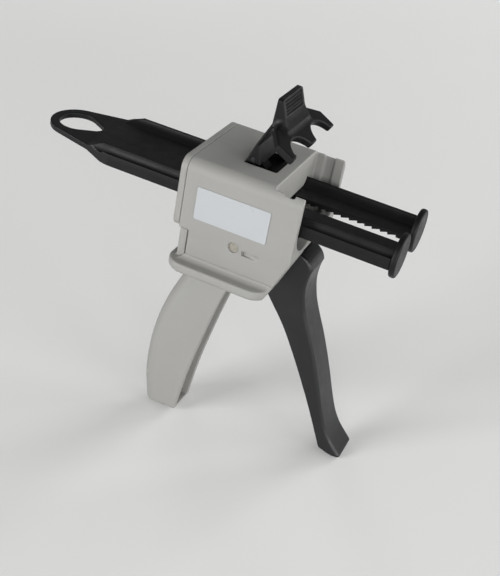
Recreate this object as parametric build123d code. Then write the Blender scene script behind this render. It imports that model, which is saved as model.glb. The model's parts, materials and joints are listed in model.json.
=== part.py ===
from build123d import *
import math
import os

# A hand-operated dispensing tool for side-by-side two-barrel cartridges.
# Working frame, in millimetres: x forward along the plunger, y to the left, z up,
# with x = 0 at the rear cover's rear face and z = 0 at the centres of the pusher discs.
# At the end everything is tipped nose down and set on the floor, centred on its outline.

# Stance: the tool stands on the foot of its grip and on the tip of its trigger
PITCH = 9.2
FLOOR_DEPTH = 124.0

# Clearances, and how far a cut or a joined block runs past the face that it meets
RUN = 0.05
SEAT = 0.05
WEB_GAP = 0.35
CLIP_GAP = 0.25
PAST = 1.0

# Body housing
BODY_HALF = 25.0
BODY_TOP = 14.7
SHOULDER_R = 5.0
WALL = 2.6
TOP_WALL = 2.5
LEDGE_TOP = -29.1
LOWER_SET_IN = 0.3
BLOCK_BACK = 3.7
LOWER_SEAM = 7.4
BULKHEAD_FRONT = 40.1
BULKHEAD_THICK = 2.5
FORK_ZONE = 3.9
FORK_HALF = 22.6
GROOVE_LENGTH = 4.5
GROOVE_HALF = 23.4
LIP_THICK = 4.4
LIP_HALF = 22.2
SEAT_FLOOR = -13.4
FLOOR_THICK = 2.0
LIP_BOTTOM = -14.5
FRONT_LEAN = 5.9
SEAT_CENTRE = 11.0
SEAT_RADIUS = 11.2
SEAT_HEIGHT = -1.8
TRIGGER_SLOT_HALF = 8.6

# Rear cover
COVER_THICK = 3.0
COVER_BOTTOM = -16.0
COVER_EDGE_R = 0.9
COVER_CORNER_R = 3.0

# Label plate
LABEL_START = 9.0
LABEL_LENGTH = 32.1
LABEL_LOW = -9.6
LABEL_HEIGHT = 14.3
LABEL_THICK = 0.3
LABEL_CORNER = 0.8

# Plunger rods: plate, ridge with hollow flanks, narrow groove, outer lip and skirt
ROD_SLOT = 3.6
RACK_WIDTH = 2.6
ROD_OUT = 20.9
ROD_END = 90.2
PLATE_TOP = 0.8
PLATE_THICK = 2.6
SKIRT_DEPTH = 1.9
SKIRT_WIDTH = 4.4
SKIRT_BEVEL = 0.6
RIDGE_RISE = 3.3
RIDGE_IN = 4.0
RIDGE_FOOT = 4.0
CREST_WIDTH = 0.9
FLANK_RISE = 1.2
INNER_FLANK = 1.35
OUTER_FLANK = 0.47
GROOVE_IN = 1.7
GROOVE_WIDTH = 0.6
GROOVE_SINK = 0.1
LIP_RISE = 0.9
LIP_WIDTH = 0.9
LIP_EDGE = 0.2

# Plunger web, pull loop and saw teeth
WEB_START = -47.0
RIDGE_RAMP = 8.0
BLADE_START = -34.8
LOOP_CENTRE = -61.2
LOOP_R = 12.8
HOLE_R = 8.2
HOLE_SHIFT = -0.8
HOLE_NOSE = 8.0
HOLE_NOSE_R = 4.0
TOOTH_PITCH = 3.4
TOOTH_DEPTH = 1.1
TOOTH_STAND = 0.1
RACK_START = -27.2
RACK_TEETH = 33

# Pusher discs
DISC_CENTRE = 12.5
DISC_R = 9.25
DISC_THICK = 2.6
DISC_RIM = 0.8
TANG_LENGTH = 5.2
TANG_WIDTH = 6.0
TANG_THICK = 1.7
PEG_R = 1.2
PEG_RISE = 1.4

# Grip frame
LEDGE_BACK = 1.0
LEDGE_FRONT = 47.0
LEDGE_HALF = 31.2
LEDGE_THICK = 4.8
LEDGE_CORNER = 8.0
LEDGE_ROUND = 2.4
LEDGE_EDGE = 0.8
GRIP_HALF = 7.8
GRIP_WALL = 2.3
GRIP_ROUND = 5.0
FOOT_THICK = 3.5
CHEEK_GAP = 9.0
CHEEK_THICK = 2.5
CHEEK_BACK = 6.4
CHEEK_FRONT = 33.5
CHEEK_DROP = 0.6
CHEEK_SLOPE = 2.0
SLOT_BACK = 24.0
BLOCK_HALF = 24.4
BLOCK_DROP = 0.3

# Side curves of the grip, from its top down: x and z of its back and of its open front
GRIP_BACK = [
    (7.5, -31.5), (3.9, -41.0), (-0.5, -51.0), (-5.4, -63.0), (-9.0, -75.3), (-11.1, -87.3),
    (-11.9, -99.5), (-11.4, -111.5), (-8.6, -127.0),
]
GRIP_FRONT = [
    (26.0, -31.5), (24.2, -41.0), (22.4, -48.6), (20.0, -57.1), (17.1, -69.2), (13.9, -84.0),
    (11.3, -97.3), (9.6, -108.0), (7.2, -127.0),
]

# Trigger
PIVOT_X = 28.0
PIVOT_Z = -16.5
PIN_R = 2.25
TRIGGER_HALF = 8.0
TRIGGER_ROUND = 2.4
TRIGGER_WALL = 2.2
HOLLOW_DEPTH = 4.6
RIB_THICK = 1.6
EAR_GAP = 6.3
BOSS_R = 4.9
ARM_HALF = 3.4
ARM_REST = 9.2
ARM_HEADROOM = 0.5
PIN_SINK = 0.7
WASHER_R = 4.1

# Side curves of the finger piece: its back and its front from the top down, its brow and its toe
TRIGGER_REAR = [
    (42.3, -43.5), (50.5, -54.1), (58.0, -66.4), (66.1, -81.3), (72.5, -94.0), (80.0, -110.0),
    (83.0, -116.0),
]
TRIGGER_FRONT = [
    (57.2, -22.0), (56.6, -28.0), (56.8, -35.0), (58.8, -43.5), (61.8, -51.0), (65.5, -59.0),
    (69.4, -68.6), (72.9, -78.0), (76.0, -87.0), (79.5, -96.0), (83.5, -103.5),
]
HEAD_TOP = (55.0, -12.0)
BROW = (60.0, -17.5)
BROW_FOOT = (59.0, -20.5)
TOE_TOP = (89.5, -106.2)
TOE = (90.3, -109.8)
TOE_UNDER = (88.3, -116.0)

# Springs
SPRING_WIRE = 0.65
SPRING_GAP = 0.3
SPRING_SIDE = 5.4
SPRING_REST = 0.2
SPRING_FOOT = 2.0
FOOT_REST = 0.1
ARM_GAP = 1.4
LEAF = 0.45
LEAF_FOOT = 1.6
LEAF_KNEE = 0.6
LEAF_SIDE = 1.5
LEAF_REST = 0.1
RETURN_R = 1.2
RETURN_SHIFT = 1.7
BRAKE_LENGTH = 3.2
BRAKE_REST = 0.3
BRAKE_SIDE = 0.2
BRAKE_SLOPE = 0.6

# Pawls
DRIVE_BACK = 1.0
DRIVE_RISE = 9.0
DRIVE_REACH = 5.8
HOLD_X = 11.0
HOLD_Z = -8.5
HOLD_REACH = 6.5
PAWL_HALF = 6.0
PAWL_PIN_R = 1.3
PAWL_HUB_R = 2.5
PAWL_GAP = 0.4
PAWL_NOSE = 1.3

# Release lever, its finger and the holding pawl's tail
LEVER_X = 12.0
LEVER_Z = -20.5
LEVER_PIN_R = 1.5
LEVER_HUB_R = 2.9
LEVER_THICK = 2.4
LEVER_RISE = 1.3
LEVER_BEVEL = 0.8
LEVER_HALF = 6.0
LEVER_REACH = 6.5
LEVER_ROOM = 0.6
LEVER_DROP = 5.0
TAIL_X = 6.0
TAIL_Z = -11.9
TAIL_HALF = 1.0
TAIL_THICK = 2.2
FINGER_REST = 0.3
FINGER_TIP = 0.6
FINGER_FOOT = 2.6

# Cartridge clip, shaped closed and then swung open
HINGE_X = 24.1
HINGE_Z = 16.8
CLIP_OPEN = 62.0
CLIP_PIN_R = 0.9
CLIP_PIN_SINK = 0.1
CLIP_HALF = 10.4
CLIP_CHEEK = 1.8
CLIP_HEEL_X = 3.2
CLIP_HEEL_Z = 1.8
CLIP_NOSE = 4.0
NOSE_BEVEL = 0.5
GUSSET_LENGTH = 6.2
CLIP_CROWN = 0.4
CLIP_PLATE = 1.3
FORK_REACH = 16.3
FORK_THICK = 3.3
FORK_OUT = 22.3
FORK_SHOULDER = 12.0
FORK_CROWN = 15.0
FORK_TOP = 17.6
FORK_TIP = 3.8
FORK_ROOT = 4.0
ARCH_CENTRE = 10.7
ARCH_HEIGHT = 2.0
ARCH_R = 8.3
CREST_RISE = 2.8
CREST_IN = 1.0
TAB_TIP_X = 51.1
TAB_TIP_Z = 25.0
TAB_TIP_THICK = 1.9
TAB_LEAN = 1.0
TAB_FOOT = 3.4
TAB_HEEL = 1.2
TAB_GROOVES = 5
TAB_GROOVE_R = 0.45
TAB_BORDER = 2.0
TAB_MARGIN = 0.16

# Clip bracket in the housing's top opening, and the leaf in its pocket
BRACKET_BACK = 20.85
BRACKET_LENGTH = 14.1
BRACKET_HALF = 10.7
BRACKET_DEPTH = 3.4
BRACKET_WALL = 1.5
BRACKET_FLOOR = 1.4
BRACKET_FLANGE = 1.6
BRACKET_RIM_DROP = 0.1
EAR_R = 1.75
EAR_THICK = 1.9
EAR_SIDE_GAP = 0.15
EAR_FRONT = 0.3
EAR_SWING = 10.0
DETENT_HALF = 3.0
DETENT_REST = 0.3
DETENT_END_GAP = 0.45
DETENT_FOOT = 0.9
DETENT_CREST = 1.6
DETENT_RAMP = 2.4

# Guides under the plunger
SHELF_DROP = 2.3
SHELF_THICK = 2.0
STRIP_WIDTH = 3.6
GUIDE_GAP = 0.7

# Screws
SCREW_R = 1.4
SCREW_HEAD_R = 2.6
SCREW_HEAD = 1.6
SCREW_LENGTH = 12.0
SCREW_SPARE = 1.0
SOCKET_R = 1.3
SOCKET_DEPTH = 1.0
BOSS_WALL = 1.8
BOSS_Y = 19.4

# Places that follow from the sizes above
FORK_END = BULKHEAD_FRONT + FORK_ZONE
GROOVE_END = FORK_END + GROOVE_LENGTH
BODY_FRONT = GROOVE_END + LIP_THICK
BULKHEAD_BACK = BULKHEAD_FRONT - BULKHEAD_THICK
FLOOR_UNDER = SEAT_FLOOR - FLOOR_THICK
PLATE_BOTTOM = PLATE_TOP - PLATE_THICK
SKIRT_BOTTOM = PLATE_BOTTOM - SKIRT_DEPTH
TOOTH_TIP = PLATE_BOTTOM - TOOTH_STAND
TOOTH_ROOT = TOOTH_TIP + TOOTH_DEPTH
RACK_OUT = ROD_SLOT + RACK_WIDTH
TANG_Y = ROD_OUT - SKIRT_WIDTH - SEAT - TANG_WIDTH / 2
PAWL_TIP = TOOTH_TIP - PAWL_GAP
INNER_HALF = BODY_HALF - WALL
INNER_TOP = BODY_TOP - TOP_WALL
BOSS_REACH = SCREW_R + BOSS_WALL
LEDGE_BOTTOM = LEDGE_TOP - LEDGE_THICK
CHEEK_OUT = CHEEK_GAP + CHEEK_THICK
CHEEK_TOP = SKIRT_BOTTOM - CHEEK_DROP
GUIDE_IN = CHEEK_OUT + GUIDE_GAP
DRIVE_X = PIVOT_X - DRIVE_BACK
DRIVE_Z = PIVOT_Z + DRIVE_RISE
FORK_BACK = HINGE_X + FORK_REACH
FORK_FRONT = FORK_BACK + FORK_THICK
CLIP_INNER = CLIP_HALF - CLIP_CHEEK
BRACKET_FRONT = BRACKET_BACK + BRACKET_LENGTH
BRACKET_TOP = INNER_TOP - SEAT
POCKET_FLOOR = BRACKET_TOP - BRACKET_DEPTH + BRACKET_FLOOR
SPACE = 200.0


def block(x0, x1, y0, y1, z0, z1):
    """Box between two corners."""
    centre = Pos((x0 + x1) / 2, (y0 + y1) / 2, (z0 + z1) / 2)
    return centre * Box(x1 - x0, y1 - y0, z1 - z0)


def both_sides(shape):
    """A shape and its mirror image on the other side of the tool."""
    return shape + mirror(shape, about=Plane.XZ)


def along_x(face, x0, x1):
    """Section in y and z, drawn out from x0 to x1."""
    return extrude(Plane.YZ.offset(x0) * face, amount=x1 - x0)


def across(face, y0, y1):
    """Side profile in x and z, drawn out from y0 to y1."""
    return extrude(Plane.XZ.offset(-y1) * face, amount=y1 - y0)


def polygon(*points):
    """Flat face inside straight edges."""
    return make_face(Polyline(*points, close=True))


def disc_across(x, z, radius, y0, y1):
    """Cylinder lying across the tool, from y0 to y1."""
    return across(Pos(x, z) * Circle(radius), y0, y1)


def bore_across(x, z, radius):
    """Cylinder that passes right through the tool's width."""
    return disc_across(x, z, radius, -BODY_HALF - PAST, BODY_HALF + PAST)


def shell_section(half, top, bottom, radius):
    """Section with upright sides and a flat top with round shoulders."""
    outline = Pos(0, (top + bottom) / 2) * Rectangle(2 * half, top - bottom)
    return fillet(outline.vertices().group_by(Axis.Y)[-1], radius)


def below_floor(lift):
    """Everything under a level that lies above the floor by a lift."""
    return Rot(0, -PITCH, 0) * Pos(0, 0, lift - FLOOR_DEPTH - SPACE / 2) * Box(2 * SPACE, SPACE, SPACE)


# Plunger

def rod_section(gap):
    """Left rod without its rack: plate, ridge, groove, lip and skirt, grown by a gap."""
    top = PLATE_TOP + gap
    low = PLATE_BOTTOM - gap
    out = ROD_OUT + gap
    crest_y = ROD_OUT - RIDGE_IN
    crest_z = top + RIDGE_RISE
    crest_half = CREST_WIDTH / 2 + gap
    flank_z = top + FLANK_RISE
    groove_y = ROD_OUT - GROOVE_IN
    groove_half = (GROOVE_WIDTH - gap) / 2
    groove_z = top - GROOVE_SINK
    lip_z = top + LIP_RISE
    lip_out = ROD_OUT - LIP_EDGE + gap / 2
    lip_in = ROD_OUT - LIP_EDGE - LIP_WIDTH - gap / 2
    skirt_in = ROD_OUT - SKIRT_WIDTH - gap
    skirt_low = SKIRT_BOTTOM - gap
    foot = (crest_y - RIDGE_FOOT, top)
    crest_in = (crest_y - crest_half, crest_z)
    crest_out = (crest_y + crest_half, crest_z)
    groove_in = (groove_y - groove_half, groove_z)
    outline = Line((RACK_OUT, top), foot)
    outline += ThreePointArc(foot, (crest_in[0] - INNER_FLANK, flank_z), crest_in)
    outline += Line(crest_in, crest_out)
    outline += ThreePointArc(crest_out, (crest_out[0] + OUTER_FLANK, flank_z), groove_in)
    outline += Polyline(
        groove_in, (groove_y + groove_half, groove_z), (lip_in, lip_z), (lip_out, lip_z), (out, 0),
        (out, skirt_low + SKIRT_BEVEL), (out - SKIRT_BEVEL, skirt_low), (skirt_in, skirt_low),
        (skirt_in, low), (RACK_OUT, low), (RACK_OUT, top),
    )
    return make_face(outline)


def plunger_opening():
    """Opening that the plunger slides through, with a gap all round."""
    left = rod_section(WEB_GAP)
    top = PLATE_TOP + WEB_GAP
    low = TOOTH_TIP - WEB_GAP
    middle = Pos(0, (top + low) / 2) * Rectangle(2 * (RACK_OUT + WEB_GAP), top - low)
    return left + mirror(left, about=Plane.YZ) + middle


def rack_strip():
    """Left inner strip of the plunger, with saw teeth underneath."""
    points = [(WEB_START, PLATE_TOP), (WEB_START, PLATE_BOTTOM), (RACK_START, PLATE_BOTTOM)]
    for tooth in range(RACK_TEETH):
        face_x = RACK_START + tooth * TOOTH_PITCH
        points.append((face_x, TOOTH_TIP))
        points.append((face_x + TOOTH_PITCH, TOOTH_ROOT))
    points.append((RACK_START + RACK_TEETH * TOOTH_PITCH, PLATE_BOTTOM))
    points.append((ROD_END, PLATE_BOTTOM))
    points.append((ROD_END, PLATE_TOP))
    return across(polygon(*points), ROD_SLOT, RACK_OUT)


def blade_plan():
    """Plan of the whole plunger: pull loop, drawn-in neck and full-width blade."""
    loop = Pos(LOOP_CENTRE, 0) * Circle(LOOP_R)
    middle = (BLADE_START + ROD_END) / 2
    blade = Pos(middle, 0) * Rectangle(ROD_END - BLADE_START, 2 * ROD_OUT)
    return make_hull(loop.edges() + blade.edges())


def loop_hole():
    """Finger hole of the pull loop, drawn out to a smaller round at its front."""
    back = Pos(LOOP_CENTRE + HOLE_SHIFT, 0) * Circle(HOLE_R)
    nose = Pos(LOOP_CENTRE + HOLE_SHIFT + HOLE_NOSE, 0) * Circle(HOLE_NOSE_R)
    return make_hull(back.edges() + nose.edges())


def plunger_ramps():
    """What the rods lose at their rear, where ridge and skirt run out into the flat web."""
    ramp_end = WEB_START + RIDGE_RAMP
    high = PLATE_TOP + RIDGE_RISE + PAST
    low = SKIRT_BOTTOM - PAST
    over = polygon((WEB_START, PLATE_TOP), (ramp_end, high), (WEB_START, high))
    under = polygon((WEB_START, PLATE_BOTTOM), (ramp_end, low), (WEB_START, low))
    return across(over, -BODY_HALF, BODY_HALF) + across(under, -BODY_HALF, BODY_HALF)


def plunger_frame():
    frame = both_sides(along_x(rod_section(0), WEB_START, ROD_END) + rack_strip())
    frame += block(WEB_START, 0, -ROD_SLOT, ROD_SLOT, TOOTH_ROOT, PLATE_TOP)
    frame += block(WEB_START, RACK_START, -ROD_SLOT, ROD_SLOT, PLATE_BOTTOM, TOOTH_ROOT)
    frame -= plunger_ramps()
    frame += block(LOOP_CENTRE - LOOP_R, WEB_START, -BODY_HALF, BODY_HALF, PLATE_BOTTOM, PLATE_TOP)
    frame = frame & extrude(Pos(0, 0, -SPACE / 2) * blade_plan(), amount=SPACE)
    frame -= extrude(Pos(0, 0, -SPACE / 2) * loop_hole(), amount=SPACE)
    peg_depth = PEG_RISE + SEAT
    peg_place = Pos(ROD_END - TANG_LENGTH / 2, TANG_Y, PLATE_BOTTOM + peg_depth / 2)
    return frame - both_sides(peg_place * Cylinder(PEG_R + SEAT, peg_depth))


def pusher_disc(side):
    """Disc on the end of one rod, with the tang and peg that hold it."""
    centre = Plane.YZ.offset(ROD_END) * Pos(DISC_CENTRE, 0)
    disc = extrude(centre * Circle(DISC_R), amount=DISC_THICK)
    disc = fillet(disc.edges().filter_by(GeomType.CIRCLE), DISC_RIM)
    disc += block(
        ROD_END - TANG_LENGTH, ROD_END + SEAT, TANG_Y - TANG_WIDTH / 2, TANG_Y + TANG_WIDTH / 2,
        PLATE_BOTTOM - TANG_THICK, PLATE_BOTTOM,
    )
    peg_place = Pos(ROD_END - TANG_LENGTH / 2, TANG_Y, PLATE_BOTTOM + PEG_RISE / 2)
    disc += peg_place * Cylinder(PEG_R, PEG_RISE)
    return disc if side > 0 else mirror(disc, about=Plane.XZ)


# Body housing

def cover_screw_places():
    """Corners of the rear cover where its screws sit, as y and z."""
    high = INNER_TOP - BOSS_REACH
    low = COVER_BOTTOM + SCREW_HEAD_R + BOSS_WALL
    return [(y, z) for y in (-BOSS_Y, BOSS_Y) for z in (low, high)]


def frame_screw_places():
    """Places under the ledge where the frame screws sit, as x and y."""
    back = LOWER_SEAM + BOSS_REACH
    front = CHEEK_FRONT + BOSS_REACH
    return [(x, y) for x in (back, front) for y in (-BOSS_Y, BOSS_Y)]


def wall_boss(x0, x1, y, z0, z1):
    """Block round a screw beside one side wall, joined to that wall."""
    inner = y - math.copysign(BOSS_REACH, y)
    outer = math.copysign(INNER_HALF + PAST, y)
    low, high = sorted((inner, outer))
    return block(x0, x1, low, high, z0, z1)


def cover_bosses():
    """Corner bosses that take the rear cover's screws."""
    front = COVER_THICK + SCREW_LENGTH
    return [
        wall_boss(COVER_THICK, front, y, z - BOSS_REACH, z + BOSS_REACH)
        for y, z in cover_screw_places()
    ]


def frame_bosses():
    """Bosses along the lower edge that take the frame screws."""
    top = LEDGE_TOP + SCREW_LENGTH
    return [
        wall_boss(x - BOSS_REACH, x + BOSS_REACH, y, LEDGE_TOP, top)
        for x, y in frame_screw_places()
    ]


def guide_shelves():
    """Shelves that carry the plunger's guide strips, from the side walls inwards."""
    top = SKIRT_BOTTOM - SHELF_DROP
    shelf = block(LOWER_SEAM, BULKHEAD_BACK, GUIDE_IN, INNER_HALF + PAST, top - SHELF_THICK, top)
    return both_sides(shelf)


def guide_strips():
    """Low-friction strips that the plunger's plates run on."""
    strip = block(
        LOWER_SEAM, BULKHEAD_BACK, GUIDE_IN, GUIDE_IN + STRIP_WIDTH,
        SKIRT_BOTTOM - SHELF_DROP, PLATE_BOTTOM - 2 * RUN,
    )
    return both_sides(strip)


def seat_cut():
    """Open cartridge seat: fork zone, flange groove and the U-shaped front notches."""
    top = BODY_TOP + PAST
    front = BODY_FRONT + PAST
    cut = block(BULKHEAD_FRONT, FORK_END, -FORK_HALF, FORK_HALF, SEAT_FLOOR, top)
    cut += block(FORK_END, GROOVE_END, -GROOVE_HALF, GROOVE_HALF, SEAT_FLOOR, top)
    cut += block(GROOVE_END, front, -LIP_HALF, LIP_HALF, SEAT_HEIGHT, top)
    notch = Pos(SEAT_CENTRE, SEAT_HEIGHT) * Circle(SEAT_RADIUS)
    return cut + both_sides(along_x(notch, GROOVE_END, front))


def housing_cavity():
    """Hollow for the mechanism, open at the rear and underneath."""
    inside = shell_section(INNER_HALF, INNER_TOP, LEDGE_TOP - PAST, SHOULDER_R - WALL / 2)
    cavity = along_x(inside, 0, BULKHEAD_BACK)
    lean = FRONT_LEAN / (LIP_BOTTOM - LEDGE_TOP)
    upper_x = BODY_FRONT - WALL - lean * (LIP_BOTTOM - FLOOR_UNDER)
    lower_x = BODY_FRONT - WALL - FRONT_LEAN - lean * PAST
    nose = polygon(
        (BULKHEAD_BACK - PAST, FLOOR_UNDER), (upper_x, FLOOR_UNDER),
        (lower_x, LEDGE_TOP - PAST), (BULKHEAD_BACK - PAST, LEDGE_TOP - PAST),
    )
    return cavity + across(nose, -INNER_HALF, INNER_HALF)


def leaning_front():
    """What the body loses under its front lip, where its front leans back."""
    front = polygon(
        (BODY_FRONT, LIP_BOTTOM), (BODY_FRONT + PAST, LIP_BOTTOM),
        (BODY_FRONT + PAST, LEDGE_TOP), (BODY_FRONT - FRONT_LEAN, LEDGE_TOP),
    )
    return across(front, -BODY_HALF - PAST, BODY_HALF + PAST)


def body_housing():
    outline = shell_section(BODY_HALF, BODY_TOP, LEDGE_TOP, SHOULDER_R)
    body = along_x(outline, COVER_THICK, BODY_FRONT)
    lower_half = BODY_HALF - LOWER_SET_IN
    body -= both_sides(
        block(COVER_THICK, BODY_FRONT, lower_half, BODY_HALF + PAST, LEDGE_TOP, COVER_BOTTOM)
    )
    body -= block(0, LOWER_SEAM, -BODY_HALF, BODY_HALF, LEDGE_TOP, COVER_BOTTOM)
    body -= leaning_front()
    body -= housing_cavity()
    body -= seat_cut()
    body += cover_bosses() + frame_bosses()
    body += guide_shelves()
    for y, z in cover_screw_places():
        body -= along_x(Pos(y, z) * Circle(SCREW_R + SEAT), COVER_THICK, COVER_THICK + SCREW_LENGTH)
    for x, y in frame_screw_places():
        body -= Pos(x, y, LEDGE_TOP) * Cylinder(SCREW_R + SEAT, 2 * SCREW_LENGTH)
    body -= along_x(plunger_opening(), BULKHEAD_BACK - PAST, BULKHEAD_FRONT + PAST)
    body -= block(
        BRACKET_BACK - SEAT, BRACKET_FRONT + SEAT,
        -BRACKET_HALF, BRACKET_HALF, INNER_TOP - PAST, BODY_TOP + PAST,
    )
    body -= bore_across(PIVOT_X, PIVOT_Z, PIN_R + SEAT)
    body -= block(
        BULKHEAD_BACK, BODY_FRONT + PAST, -TRIGGER_SLOT_HALF, TRIGGER_SLOT_HALF,
        LEDGE_TOP - PAST, FLOOR_UNDER,
    )
    return body


def rear_cover():
    outline = shell_section(BODY_HALF, BODY_TOP, COVER_BOTTOM, SHOULDER_R)
    outline = fillet(outline.vertices().group_by(Axis.Y)[0], COVER_CORNER_R)
    cover = along_x(outline, 0, COVER_THICK)
    cover = fillet(cover.faces().sort_by(Axis.X)[0].edges(), COVER_EDGE_R)
    cover -= along_x(plunger_opening(), -PAST, COVER_THICK + PAST)
    for y, z in cover_screw_places():
        cover -= along_x(Pos(y, z) * Circle(SCREW_R + SEAT), 0, COVER_THICK)
        cover -= along_x(Pos(y, z) * Circle(SCREW_HEAD_R + SEAT), 0, SCREW_HEAD)
    return cover


def screw(length):
    """Countersunk-flush screw along +x, its head's top at the origin."""
    head = along_x(Circle(SCREW_HEAD_R), 0, SCREW_HEAD)
    socket = along_x(RegularPolygon(SOCKET_R, 6), 0, SOCKET_DEPTH)
    return head + along_x(Circle(SCREW_R), SCREW_HEAD, length) - socket


def rear_cover_screws():
    length = COVER_THICK + SCREW_LENGTH - SCREW_SPARE
    screws = [Pos(0, y, z) * screw(length) for y, z in cover_screw_places()]
    return Compound(children=screws)


def frame_screws():
    length = LEDGE_THICK + SCREW_LENGTH - SCREW_SPARE
    upright = Rot(0, -90, 0)
    screws = [Pos(x, y, LEDGE_BOTTOM) * upright * screw(length) for x, y in frame_screw_places()]
    return Compound(children=screws)


def label_plate():
    label = block(
        LABEL_START, LABEL_START + LABEL_LENGTH, -BODY_HALF - LABEL_THICK, -BODY_HALF,
        LABEL_LOW, LABEL_LOW + LABEL_HEIGHT,
    )
    return fillet(label.edges().filter_by(Axis.Y), LABEL_CORNER)


# Grip frame

def grip_body():
    """The grip's outer form, round at its back."""
    outline = Spline(*GRIP_BACK) + Line(GRIP_BACK[-1], GRIP_FRONT[-1])
    outline += Spline(*GRIP_FRONT[::-1]) + Line(GRIP_FRONT[0], GRIP_BACK[0])
    body = across(make_face(outline), -GRIP_HALF, GRIP_HALF)
    back = body.edges().filter_by(GeomType.BSPLINE).sort_by(Axis.X)[0:2]
    return fillet(back, GRIP_ROUND)


def grip_channel():
    """Channel in the grip, open to the front, down to its closed foot."""
    back = [(x + GRIP_WALL, z) for x, z in GRIP_BACK]
    outline = Spline(*back)
    outline += Polyline(back[-1], (SPACE, back[-1][1]), (SPACE, back[0][1]), back[0])
    half = GRIP_HALF - GRIP_WALL
    channel = across(make_face(outline), -half, half)
    channel = fillet(channel.edges().filter_by(GeomType.BSPLINE), GRIP_ROUND - GRIP_WALL)
    channel -= below_floor(FOOT_THICK)
    return channel - block(-SPACE, 2 * SPACE, -SPACE, SPACE, LEDGE_BOTTOM - GRIP_WALL, SPACE)


def ledge():
    """Hand ledge round the bottom of the body."""
    corner = min(LEDGE_CORNER, (LEDGE_FRONT - LEDGE_BACK) / 2 - LEDGE_EDGE)
    plate = block(LEDGE_BACK, LEDGE_FRONT, -LEDGE_HALF, LEDGE_HALF, LEDGE_BOTTOM, LEDGE_TOP)
    plate = fillet(plate.edges().filter_by(Axis.Z), corner)
    plate = fillet(plate.faces().sort_by(Axis.Z)[0].edges(), LEDGE_ROUND)
    return fillet(plate.faces().sort_by(Axis.Z)[-1].edges(), LEDGE_EDGE)


def cheeks():
    """Side plates inside the body that carry the pivot pins."""
    low = LEDGE_TOP - LEDGE_EDGE
    profile = polygon(
        (CHEEK_BACK, low), (CHEEK_BACK, HOLD_Z), (CHEEK_BACK + CHEEK_SLOPE, CHEEK_TOP),
        (CHEEK_FRONT - CHEEK_SLOPE, CHEEK_TOP), (CHEEK_FRONT, HOLD_Z), (CHEEK_FRONT, low),
    )
    return both_sides(across(profile, CHEEK_GAP, CHEEK_OUT))


def rear_block():
    """Block behind the housing's lower seam, with the release lever's opening."""
    shape = block(
        BLOCK_BACK, LOWER_SEAM - SEAT, -BLOCK_HALF, BLOCK_HALF,
        LEDGE_TOP - PAST, COVER_BOTTOM - BLOCK_DROP,
    )
    opening = LEVER_HALF + LEVER_ROOM
    return shape - block(
        BLOCK_BACK - PAST, LOWER_SEAM + PAST, -opening, opening,
        LEVER_Z - LEVER_DROP, COVER_BOTTOM + PAST,
    )


def grip_frame():
    frame = ledge() + (grip_body() - grip_channel()) + cheeks() + rear_block()
    frame -= block(
        SLOT_BACK, LEDGE_FRONT + PAST, -TRIGGER_SLOT_HALF, TRIGGER_SLOT_HALF,
        LEDGE_BOTTOM - PAST, LEDGE_TOP + PAST,
    )
    frame -= bore_across(PIVOT_X, PIVOT_Z, PIN_R + SEAT)
    frame -= bore_across(HOLD_X, HOLD_Z, PAWL_PIN_R + SEAT)
    frame -= bore_across(LEVER_X, LEVER_Z, LEVER_PIN_R + SEAT)
    for x, y in frame_screw_places():
        frame -= Pos(x, y, LEDGE_BOTTOM) * Cylinder(SCREW_R + SEAT, 4 * SCREW_LENGTH)
        frame -= Pos(x, y, LEDGE_BOTTOM) * Cylinder(SCREW_HEAD_R + SEAT, 2 * SCREW_HEAD)
    return frame - below_floor(0)


# Trigger and its mechanism

def finger_piece():
    """Curved piece that the fingers squeeze, from its head to its toe."""
    outline = Spline(*TRIGGER_REAR) + Line(TRIGGER_REAR[-1], TOE_UNDER)
    outline += ThreePointArc(TOE_UNDER, TOE, TOE_TOP) + Line(TOE_TOP, TRIGGER_FRONT[-1])
    outline += Spline(*TRIGGER_FRONT[::-1]) + Line(TRIGGER_FRONT[0], BROW_FOOT)
    outline += ThreePointArc(BROW_FOOT, BROW, HEAD_TOP) + Line(HEAD_TOP, TRIGGER_REAR[0])
    piece = across(make_face(outline), -TRIGGER_HALF, TRIGGER_HALF)
    front = piece.edges().filter_by(GeomType.BSPLINE).sort_by(Axis.X)[-2:]
    return fillet(front, TRIGGER_ROUND)


def trigger_arm():
    """Arm from the finger piece back to the pivot, with the drive pawl's ears."""
    top = FLOOR_UNDER - ARM_HEADROOM
    brow_x = TRIGGER_FRONT[2][0] - TRIGGER_ROUND
    arm = polygon(
        (PIVOT_X - ARM_HALF, PIVOT_Z + ARM_HALF), (PIVOT_X + ARM_HALF, PIVOT_Z + ARM_HALF),
        (PIVOT_X + ARM_REST, top), (HEAD_TOP[0], top), (brow_x, TRIGGER_FRONT[2][1]),
        TRIGGER_REAR[0], (PIVOT_X - ARM_HALF, PIVOT_Z - ARM_HALF),
    )
    piece = across(arm, -TRIGGER_HALF, TRIGGER_HALF)
    piece += disc_across(PIVOT_X, PIVOT_Z, BOSS_R, -TRIGGER_HALF, TRIGGER_HALF)
    ear = polygon(
        (DRIVE_X - PAWL_HUB_R, DRIVE_Z), (DRIVE_X + PAWL_HUB_R, DRIVE_Z),
        (PIVOT_X + BOSS_R, PIVOT_Z), (PIVOT_X - BOSS_R, PIVOT_Z),
    )
    ears = across(ear, EAR_GAP, TRIGGER_HALF)
    ears += disc_across(DRIVE_X, DRIVE_Z, PAWL_HUB_R, EAR_GAP, TRIGGER_HALF)
    return piece + both_sides(ears)


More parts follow.
